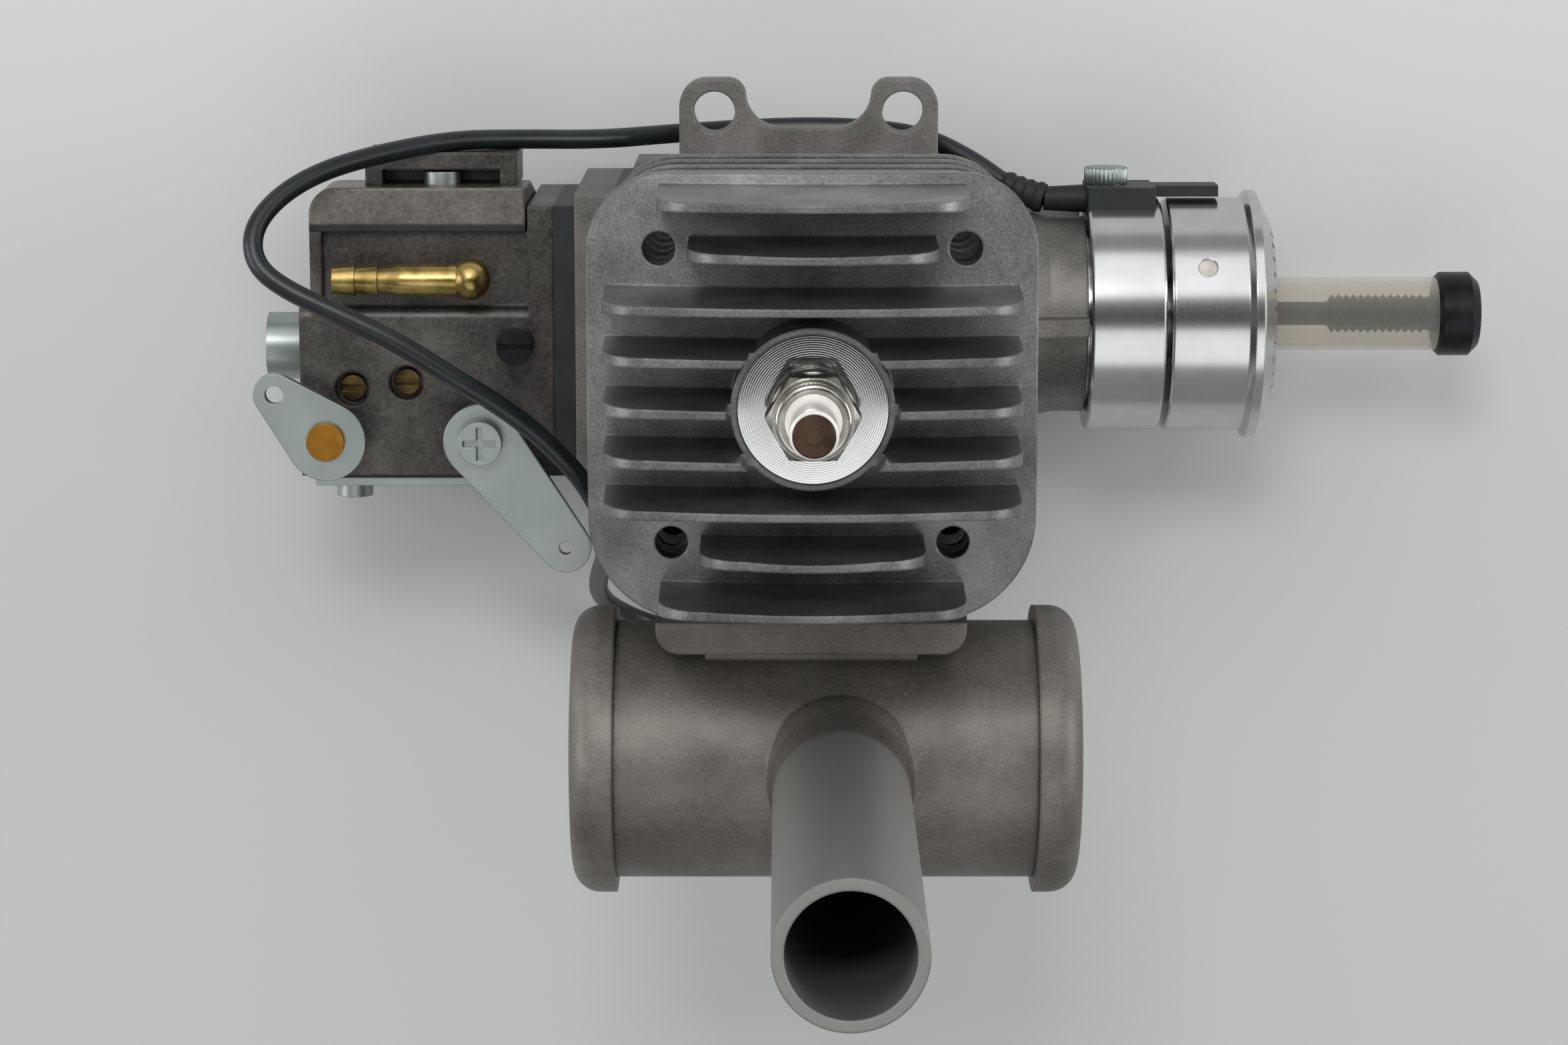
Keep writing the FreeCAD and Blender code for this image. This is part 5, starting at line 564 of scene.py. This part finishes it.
# ---- stage -----------------------------------------------------------------
@dataclass
class Stage:
    """The pale table, the lights round it and the camera above.

    Each lamp is given by its name, its place and the length of its side in millimetres, and its power
    in watts.
    """

    table_z: float = -22.4
    table_half: float = 900.0
    sheet_points: int = 9
    lens: float = 90.0
    sensor_width: float = 36.0
    eye: Point = (-3.3, 68.0, 527.4)
    tilt: float = -10.4
    near_y: float = -125.0
    far_y: float = 170.0
    # The paper's two colours paint its shade: darker at the front, lighter at the back towards the lamps.
    shaded_near_paper: str = "#bfc1c1"
    lit_far_paper: str = "#cacccc"
    card_z: float = 930.0
    card_half: tuple[float, float] = (250.0, 265.0)
    card_y: float = 135.0
    lamps: tuple[tuple[str, Point, float, float], ...] = (
        ("overhead_soft", (-60.0, 1250.0, 1600.0), 2400.0, 19.0),
        ("key_soft", (-150.0, 760.0, 1400.0), 420.0, 7.0),
        ("side_soft", (1000.0, 120.0, 460.0), 600.0, 4.6),
        ("left_soft", (-1000.0, 120.0, 460.0), 600.0, 3.8),
        ("front_soft", (0.0, -540.0, 1150.0), 900.0, 2.6))
    lamp_aim: Point = (0.0, 0.0, 30.0)
    room_colour: str = "#d2d2d1"
    room_strength: float = 0.44

    def camera(self) -> None:
        """Stand the camera above the cylinder head, leaning towards the muffler."""
        data = bpy.data.cameras.new("camera")
        data.lens = self.lens
        data.sensor_width = self.sensor_width
        data.clip_start = 0.01
        data.clip_end = 20.0
        camera = bpy.data.objects.new("camera", data)
        camera.location = tuple(value * MM for value in self.eye)
        camera.rotation_euler = (math.radians(self.tilt), 0.0, 0.0)
        bpy.context.scene.collection.objects.link(camera)
        bpy.context.scene.camera = camera

    def sheet(self, name: str, half: tuple[float, float], centre: Point, surface: Material) -> None:
        """Lay one flat sheet that is not part of the engine.

        Args:
            name: the sheet's name.
            half: half its length and half its width, in millimetres.
            centre: its middle, in millimetres.
            surface: its finish.
        """
        across = np.linspace(-1, 1, self.sheet_points)
        grid_u, grid_v = np.meshgrid(across, across, indexing="ij")
        points = np.stack([grid_u * half[0], grid_v * half[1], np.zeros_like(grid_u)], axis=-1)
        piece = grid_mesh(name, (points + np.array(centre)) * MM, False, False)
        piece.data.materials.append(surface)

    def paper(self) -> Material:
        """Return the table's pale paper, with painted shade: a little darker towards the front edge, lighter
        towards the lamps at the back.
        """
        material, tree, surface = new_material("pale_table_paper")
        place = add(tree, "TexCoord").outputs["Object"]
        depth = add(tree, "SeparateXYZ", links={0: place}).outputs["Y"]
        far = add(tree, "MapRange", {"From Min": self.near_y * MM, "From Max": self.far_y * MM},
                  {"Value": depth})
        # painted shade: the paper grows darker towards the front edge
        colour = ramp(tree, far.outputs[0], ((0.0, self.shaded_near_paper), (0.55, self.lit_far_paper)))
        tree.links.new(colour, surface.inputs["Base Color"])
        surface.inputs["Roughness"].default_value = 0.75
        return material

    def card(self) -> Material:
        """Return the matt black of the card that shades the metal."""
        material, _, surface = new_material("black_studio_card")
        surface.inputs["Base Color"].default_value = linear("#0c0c0c")
        surface.inputs["Roughness"].default_value = 0.9
        return material

    def lamp(self, name: str, place: Point, size: float, power: float) -> None:
        """Hang one square soft white light that points at the engine.

        Args:
            name: the light's name.
            place: where it hangs, in millimetres.
            size: the length of its side, in millimetres.
            power: its power in watts.
        """
        data = bpy.data.lights.new(name, "AREA")
        data.shape = "SQUARE"
        data.size = size * MM
        data.energy = power
        light = bpy.data.objects.new(name, data)
        light.location = tuple(value * MM for value in place)
        aim = Vector(self.lamp_aim) * MM - light.location
        light.rotation_euler = aim.to_track_quat("-Z", "Y").to_euler()
        bpy.context.scene.collection.objects.link(light)

    def build(self) -> None:
        """Set the whole stage."""
        self.camera()
        self.sheet("table_sheet", (self.table_half, self.table_half), (0.0, 0.0, self.table_z),
                   self.paper())
        self.sheet("shade_card", self.card_half, (0.0, self.card_y, self.card_z), self.card())
        for name, place, size, power in self.lamps:
            self.lamp(name, place, size, power)
        world = bpy.data.worlds.new("room")
        world.use_nodes = True
        bpy.context.scene.world = world
        back = world.node_tree.nodes["Background"]
        back.inputs["Color"].default_value = linear(self.room_colour)
        back.inputs["Strength"].default_value = self.room_strength
        bpy.context.scene.view_settings.view_transform = "Standard"


# ---- dressing --------------------------------------------------------------
CASE_METAL = CastMetal("blasted_cast_case", "#5e5b58", "#75726e", "#8b8884",
                       roughness=0.5, metallic=0.8)
HEAD_METAL = CastMetal("blasted_cast_head", "#616160", "#787877", "#939392",
                       roughness=0.42, metallic=0.9, edge_mm=0.4)
CAN_METAL = CastMetal("blasted_cast_muffler", "#66615c", "#79746f", "#8e8983", patch_mm=12.0,
                      roughness=0.52, metallic=0.75, worked="#8f8f8c", worked_z_mm=74.0)
CARB_METAL = CastMetal("die_cast_zinc", "#403d3b", "#54514e", "#6a6763", grit_mm=0.6,
                       roughness=0.42, edge_mm=0.6)
COVER_METAL = CastMetal("die_cast_zinc_cover", "#63605c", "#78746f", "#8f8a85", grit_mm=0.6,
                        roughness=0.4, edge_mm=0.6)
RING_METAL = TurnedMetal("turned_aluminium", "#c3c4c5", "#cbcccd", Axis.X, pitch_mm=0.2,
                         roughness=0.15, groove=0.05)
SEAT_METAL = TurnedMetal("faced_aluminium", "#cfd0d1", "#dcddde", Axis.Z, pitch_mm=0.25,
                         roughness=0.07, anisotropic=0.2, edge_mm=0.01, groove=0.04)
STEEL = TurnedMetal("ground_steel", "#8f9192", "#b9bbbc", Axis.X, roughness=0.22)
SPRING_STEEL = PlatedMetal("drawn_spring_wire", "#77797a", "#a3a5a6", roughness=0.25)
ZINC = PlatedMetal("bright_zinc_plate", "#98a19f", "#a9b1af", roughness=0.36, cloud_mm=14.0)
NICKEL = PlatedMetal("nickel_plate", "#9c988f", "#cac7c0", roughness=0.16)
BRASS = PlatedMetal("machined_brass", "#96804c", "#cbb270", roughness=0.28)
BRONZE = PlatedMetal("rivet_bronze", "#8d6126", "#a5772f", roughness=0.32)
# Brass for the needles: the hue is their own, the darkness is painted shade of the recesses they sit in.
SHADED_BRASS = PlatedMetal("brass_painted_recess_shade", "#3d3324", "#6b5a37", roughness=0.4)
SCALED = PlatedMetal("oxidised_terminal_steel", "#34261d", "#553f30", roughness=0.45, metallic=0.6)
# Black oxide steel; on the idle screw its black is also painted shade, where only dark shade shows.
BLACK_STEEL_AND_SHADE = PlatedMetal("black_oxide_steel_and_painted_shade", "#131416", "#232427", roughness=0.38, metallic=0.7)
PHENOLIC = MouldedPlastic("moulded_phenolic", "#11171a", "#1b2224", roughness=0.5)
JACKET = MouldedPlastic("extruded_lead_jacket", "#10171a", "#1a2226", roughness=0.36)
SEAL_RUBBER = MouldedPlastic("moulded_seal_rubber", "#131516", "#1f2122", roughness=0.6)
GASKET_PAPER = MouldedPlastic("pressed_gasket_paper", "#2b2d2c", "#3d3f3d", roughness=0.8)
CERAMIC = GlazedCeramic()
VINYL = ClearTube()


@dataclass
class Workshop:
    """Every finish, made once, and the ways to put it on a piece."""

    nodes: dict[str, Piece]
    bodies: dict[str, list[str]]
    made: dict[str, Material] = field(default_factory=dict)

    def finish(self, kind: Finish) -> Material:
        """Return the material of a finish, making it the first time."""
        if kind.name not in self.made:
            self.made[kind.name] = kind.build()
        return self.made[kind.name]

    def dress(self, kind: Finish, *names: str) -> None:
        """Put a finish on nodes of the frame.

        Args:
            kind: the finish.
            names: the nodes' names.
        """
        material = self.finish(kind)
        for name in names:
            piece = self.nodes[name]
            for slot in piece.material_slots:
                slot.material = material
            if not piece.material_slots:
                piece.data.materials.append(material)

    def mount(self, piece: Piece, beside: str, kind: Finish) -> Piece:
        """Finish a new piece and let it ride with a node of the frame.

        Args:
            piece: the new piece.
            beside: the node whose body carries it.
            kind: its finish.

        Returns:
            The piece.
        """
        piece.data.materials.append(self.finish(kind))
        body = next(name for name, members in self.bodies.items() if beside in members)
        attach(piece, body)
        LOG.info("built %s on %s", piece.name, body)
        return piece


def span(node: str) -> tuple[np.ndarray, np.ndarray]:
    """Return the lowest and highest corner of a node of the frame, in millimetres."""
    low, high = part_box(node)
    return np.array(low) / MM, np.array(high) / MM


@dataclass
class PowerUnit:
    """The crankcase, the crank train inside it and the plain joints that seal it."""

    def build(self, shop: Workshop) -> None:
        """Finish its nodes."""
        shop.dress(CASE_METAL, "crankcase", "reed_manifold")
        shop.dress(RING_METAL, "piston", "connecting_rod")
        shop.dress(STEEL, "crankshaft", "bearing_inner_races", "bearing_outer_races", "bearing_balls",
                   "piston_ring", "wrist_pin", "pin_circlips", "crankpin", "reed_petals")
        shop.dress(ZINC, "manifold_screws")
        shop.dress(BLACK_STEEL_AND_SHADE, "cylinder_bolts")
        shop.dress(SEAL_RUBBER, "shaft_seal")
        shop.dress(PHENOLIC, "intake_gasket", "carb_insulator")
        shop.dress(GASKET_PAPER, "base_gasket")


@dataclass
class CylinderHead:
    """The finned cylinder and the bright seat that a cutter faced on it for the plug."""

    seat_radius: float = 8.62
    seat_lift: float = 0.06
    ring_count: int = 14
    ring_height: float = 0.0006
    points_per_ring: int = 8

    def seat(self) -> Piece:
        """Face the plug's seat.

        The height rises and falls as a sine of the radius, ring_count times from the washer to the
        cutter's edge, as the feed of the cutter leaves it.
        """
        low, high = span("plug_washer")
        inner = (high[0] - low[0]) / 2 + self.seat_lift
        centre = ((low[0] + high[0]) / 2, (low[1] + high[1]) / 2, 0.0)
        radius = np.linspace(inner, self.seat_radius, self.points_per_ring * self.ring_count)
        share = (radius - inner) / (self.seat_radius - inner)
        height = low[2] + self.seat_lift + self.ring_height * np.sin(2 * np.pi * self.ring_count * share)
        top = list(zip(height.tolist(), radius.tolist()))
        profile = [(low[2], inner), *top, (low[2], self.seat_radius), (low[2], inner)]
        return lathe("plug_seat_facing", profile, Axis.Z, centre)

    def build(self, shop: Workshop) -> None:
        """Finish its nodes and add the faced seat."""
        shop.dress(HEAD_METAL, "cylinder")
        shop.mount(self.seat(), "cylinder", SEAT_METAL)


@dataclass
class SparkPlug:
    """The spark plug with its rolled collar."""

    bead: float = 0.32
    bead_spread: float = 1.6
    bead_gap: float = 0.05
    bead_steps: int = 16

    def roll(self) -> Piece:
        """Roll the collar's edge over on the ceramic.

        The profile is an ellipse on top of the shell, bead high and bead_spread times as wide.
        """
        low, high = span("plug_shell")
        ceramic_low, ceramic_high = span("plug_insulator")
        inner = (ceramic_high[0] - ceramic_low[0]) / 2 + self.bead_gap
        half_width = self.bead_spread * self.bead
        centre = ((ceramic_low[0] + ceramic_high[0]) / 2, (ceramic_low[1] + ceramic_high[1]) / 2, 0.0)
        angle = np.linspace(0, 2 * np.pi, self.bead_steps + 1)
        profile = list(zip((high[2] + self.bead * np.sin(angle)).tolist(),
                           (inner + half_width + half_width * np.cos(angle)).tolist()))
        return lathe("plug_rolled_collar", profile, Axis.Z, centre)

    def build(self, shop: Workshop) -> None:
        """Finish its nodes and add the rolled collar."""
        shop.dress(NICKEL, "plug_shell", "plug_washer")
        shop.dress(CERAMIC, "plug_insulator")
        shop.dress(SCALED, "plug_terminal")
        shop.mount(self.roll(), "plug_shell", NICKEL)


@dataclass
class Muffler:
    """The side muffler with its turned outlet tube."""

    def build(self, shop: Workshop) -> None:
        """Finish its nodes."""
        shop.dress(CAN_METAL, "muffler_body", "muffler_end_caps")
        shop.dress(BLACK_STEEL_AND_SHADE, "muffler_screws")
        shop.dress(GASKET_PAPER, "muffler_gasket")


@dataclass
class PropellerEnd:
    """The turned ring on the nose, the propeller driver, its magnet, sleeve and bolt."""

    def build(self, shop: Workshop) -> None:
        """Finish its nodes."""
        shop.dress(RING_METAL, "nose_ring", "prop_driver")
        shop.dress(NICKEL, "timing_magnet")
        shop.dress(VINYL, "bolt_sleeve")
        shop.dress(BLACK_STEEL_AND_SHADE, "prop_bolt")


@dataclass
class IgnitionSensor:
    """The timing sensor, its knurled screw, and the lead with its ribbed strain relief."""

    tooth_count: int = 30
    tooth_height: float = 0.2
    points_per_tooth: int = 8
    knurl_lift: float = 0.02
    knurl_depth: float = 0.3
    knurl_gap: float = 0.05
    knurl_round: float = 0.15
    knurl_taper: float = 0.1
    relief_length: float = 6.0
    relief_start: float = 1.95
    relief_end: float = 1.5
    relief_ribs: int = 4
    rib_height: float = 0.22
    points_per_rib: int = 20
    relief_sides: int = 48

    def knurl(self) -> Piece:
        """Cut the knurl round the sensor screw's head.

        The radius is the head's own plus a raised cosine with tooth_count waves round the circle, less
        knurl_taper at both edges.
        """
        low, high = span("sensor_screw")
        housing_top = span("sensor_housing")[1][1]
        head_radius = (high[0] - low[0]) / 2
        centre = np.array([(low[0] + high[0]) / 2, 0.0, (low[2] + high[2]) / 2])
        angle = np.linspace(0, 2 * np.pi, self.points_per_tooth * self.tooth_count, endpoint=False)
        tooth = self.tooth_height * (0.5 + 0.5 * np.cos(self.tooth_count * angle))
        crest = head_radius + self.knurl_lift + tooth
        edge = crest - self.knurl_taper
        inside = np.full_like(angle, head_radius - self.knurl_depth)
        foot = housing_top + self.knurl_gap
        top = high[1] - self.knurl_gap
        rows = ((foot, inside), (foot, edge), (foot + self.knurl_round, crest),
                (top - self.knurl_round, crest), (top, edge), (top, inside), (foot, inside))
        points = np.stack([np.stack([radius * np.cos(angle), np.full_like(angle, y), radius * np.sin(angle)],
                                    axis=-1) for y, radius in rows])
        return grid_mesh("sensor_screw_knurl", (points + centre) * MM, False, True)

    def relief(self, line: np.ndarray) -> Piece:
        """Mould the tapered strain relief round the start of the lead.

        The radius falls evenly from relief_start to relief_end, plus a squared sine for each rib. The
        last row comes back inside the lead to the first, so that the sleeve is closed.

        Args:
            line: the lead's own line, in metres.
        """
        walked = np.concatenate([[0.0], np.cumsum(np.linalg.norm(np.diff(line, axis=0), axis=1))])
        share = np.linspace(0, 1, self.points_per_rib * self.relief_ribs)
        at = share * self.relief_length * MM
        path = np.stack([np.interp(at, walked, line[:, k]) for k in range(3)], axis=-1)
        side, up = frames_along(path)
        taper = self.relief_start + (self.relief_end - self.relief_start) * share
        radius = (taper + self.rib_height * np.sin(np.pi * self.relief_ribs * share) ** 2) * MM
        angle = np.linspace(0, 2 * np.pi, self.relief_sides, endpoint=False)
        around = side[:, None] * np.cos(angle)[None, :, None] + up[:, None] * np.sin(angle)[None, :, None]
        skin = path[:, None] + around * radius[:, None, None]
        ends = [path[k] + around[k] * self.relief_end / 2 * MM for k in (0, -1)]
        points = np.concatenate([ends[0][None], skin, ends[1][None], ends[0][None]])
        return grid_mesh("lead_strain_relief", points, False, True)

    def build(self, shop: Workshop) -> None:
        """Finish its nodes, lay the lead and add the screw's knurl and the strain relief."""
        shop.dress(PHENOLIC, "sensor_housing", "lead_plug")
        shop.dress(SEAL_RUBBER, "sensor_gland")
        shop.dress(ZINC, "sensor_screw")
        wiring = SensorLead()
        lead = wiring.build(shop.finish(JACKET))
        LOG.info("built %s", lead.name)
        shop.mount(self.relief(wiring.centreline(lead)), "sensor_gland", SEAL_RUBBER)
        shop.mount(self.knurl(), "sensor_screw", ZINC)


@dataclass
class Carburettor:
    """The diaphragm carburettor with its levers, needles and sprung idle screw."""

    wire: float = 0.34
    coils: float = 6.0
    steps_per_coil: int = 40
    wire_steps: int = 12

    def spring(self) -> Piece:
        """Wind the idle screw's spring.

        The wire's middle follows a helix: the angle grows evenly with the height. Each end closes on a
        point.
        """
        low, high = span("idle_spring")
        radius = (high[0] - low[0]) / 2 - self.wire
        turn = np.linspace(0, 2 * np.pi * self.coils, int(self.coils * self.steps_per_coil) + 1)
        height = np.linspace(low[2] + self.wire, high[2] - self.wire, len(turn))
        path = np.stack([(low[0] + high[0]) / 2 + radius * np.cos(turn),
                         (low[1] + high[1]) / 2 + radius * np.sin(turn), height], axis=-1)
        side, up = frames_along(path)
        angle = np.linspace(0, 2 * np.pi, self.wire_steps, endpoint=False)
        around = side[:, None] * np.cos(angle)[None, :, None] + up[:, None] * np.sin(angle)[None, :, None]
        skin = path[:, None] + self.wire * around
        points = np.concatenate([np.broadcast_to(path[0], skin[:1].shape), skin,
                                 np.broadcast_to(path[-1], skin[:1].shape)])
        return grid_mesh("idle_spring_coil", points * MM, False, True)

    def build(self, shop: Workshop) -> None:
        """Finish its nodes and wind the spring."""
        shop.dress(CARB_METAL, "carb_body", "pump_bracket")
        shop.dress(COVER_METAL, "pump_cover")
        shop.dress(STEEL, "throttle_shaft")
        shop.dress(ZINC, "throttle_lever", "choke_lever", "throttle_screw", "carb_bolts", "cover_screws",
                   "metering_cover")
        shop.dress(BRONZE, "choke_shaft")
        shop.dress(BRASS, "fuel_barb", "choke_plate", "throttle_plate")
        # The needles' dark brass is partly painted shade of their recesses.
        shop.dress(SHADED_BRASS, "high_needle", "low_needle")
        # The idle screw's black is partly painted shade: it sits where only dark shade shows.
        shop.dress(BLACK_STEEL_AND_SHADE, "idle_screw")
        shop.dress(SEAL_RUBBER, "pump_gasket", "metering_diaphragm")
        coil = shop.mount(self.spring(), "idle_spring", SPRING_STEEL)
        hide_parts("idle_spring")


def main() -> None:
    """Build the scene in order and report each piece."""
    logging.basicConfig(level=logging.INFO, format="%(name)s: %(message)s")
    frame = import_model()
    shop = Workshop(frame["nodes"], frame["record"]["behaviour"]["bodies"])
    Stage().build()
    LOG.info("stage set")
    parts = (IgnitionSensor(), PowerUnit(), CylinderHead(), SparkPlug(), Muffler(), PropellerEnd(),
             Carburettor())
    for part in parts:
        part.build(shop)
        LOG.info("finished %s", type(part).__name__)


if __name__ == "__main__":
    main()
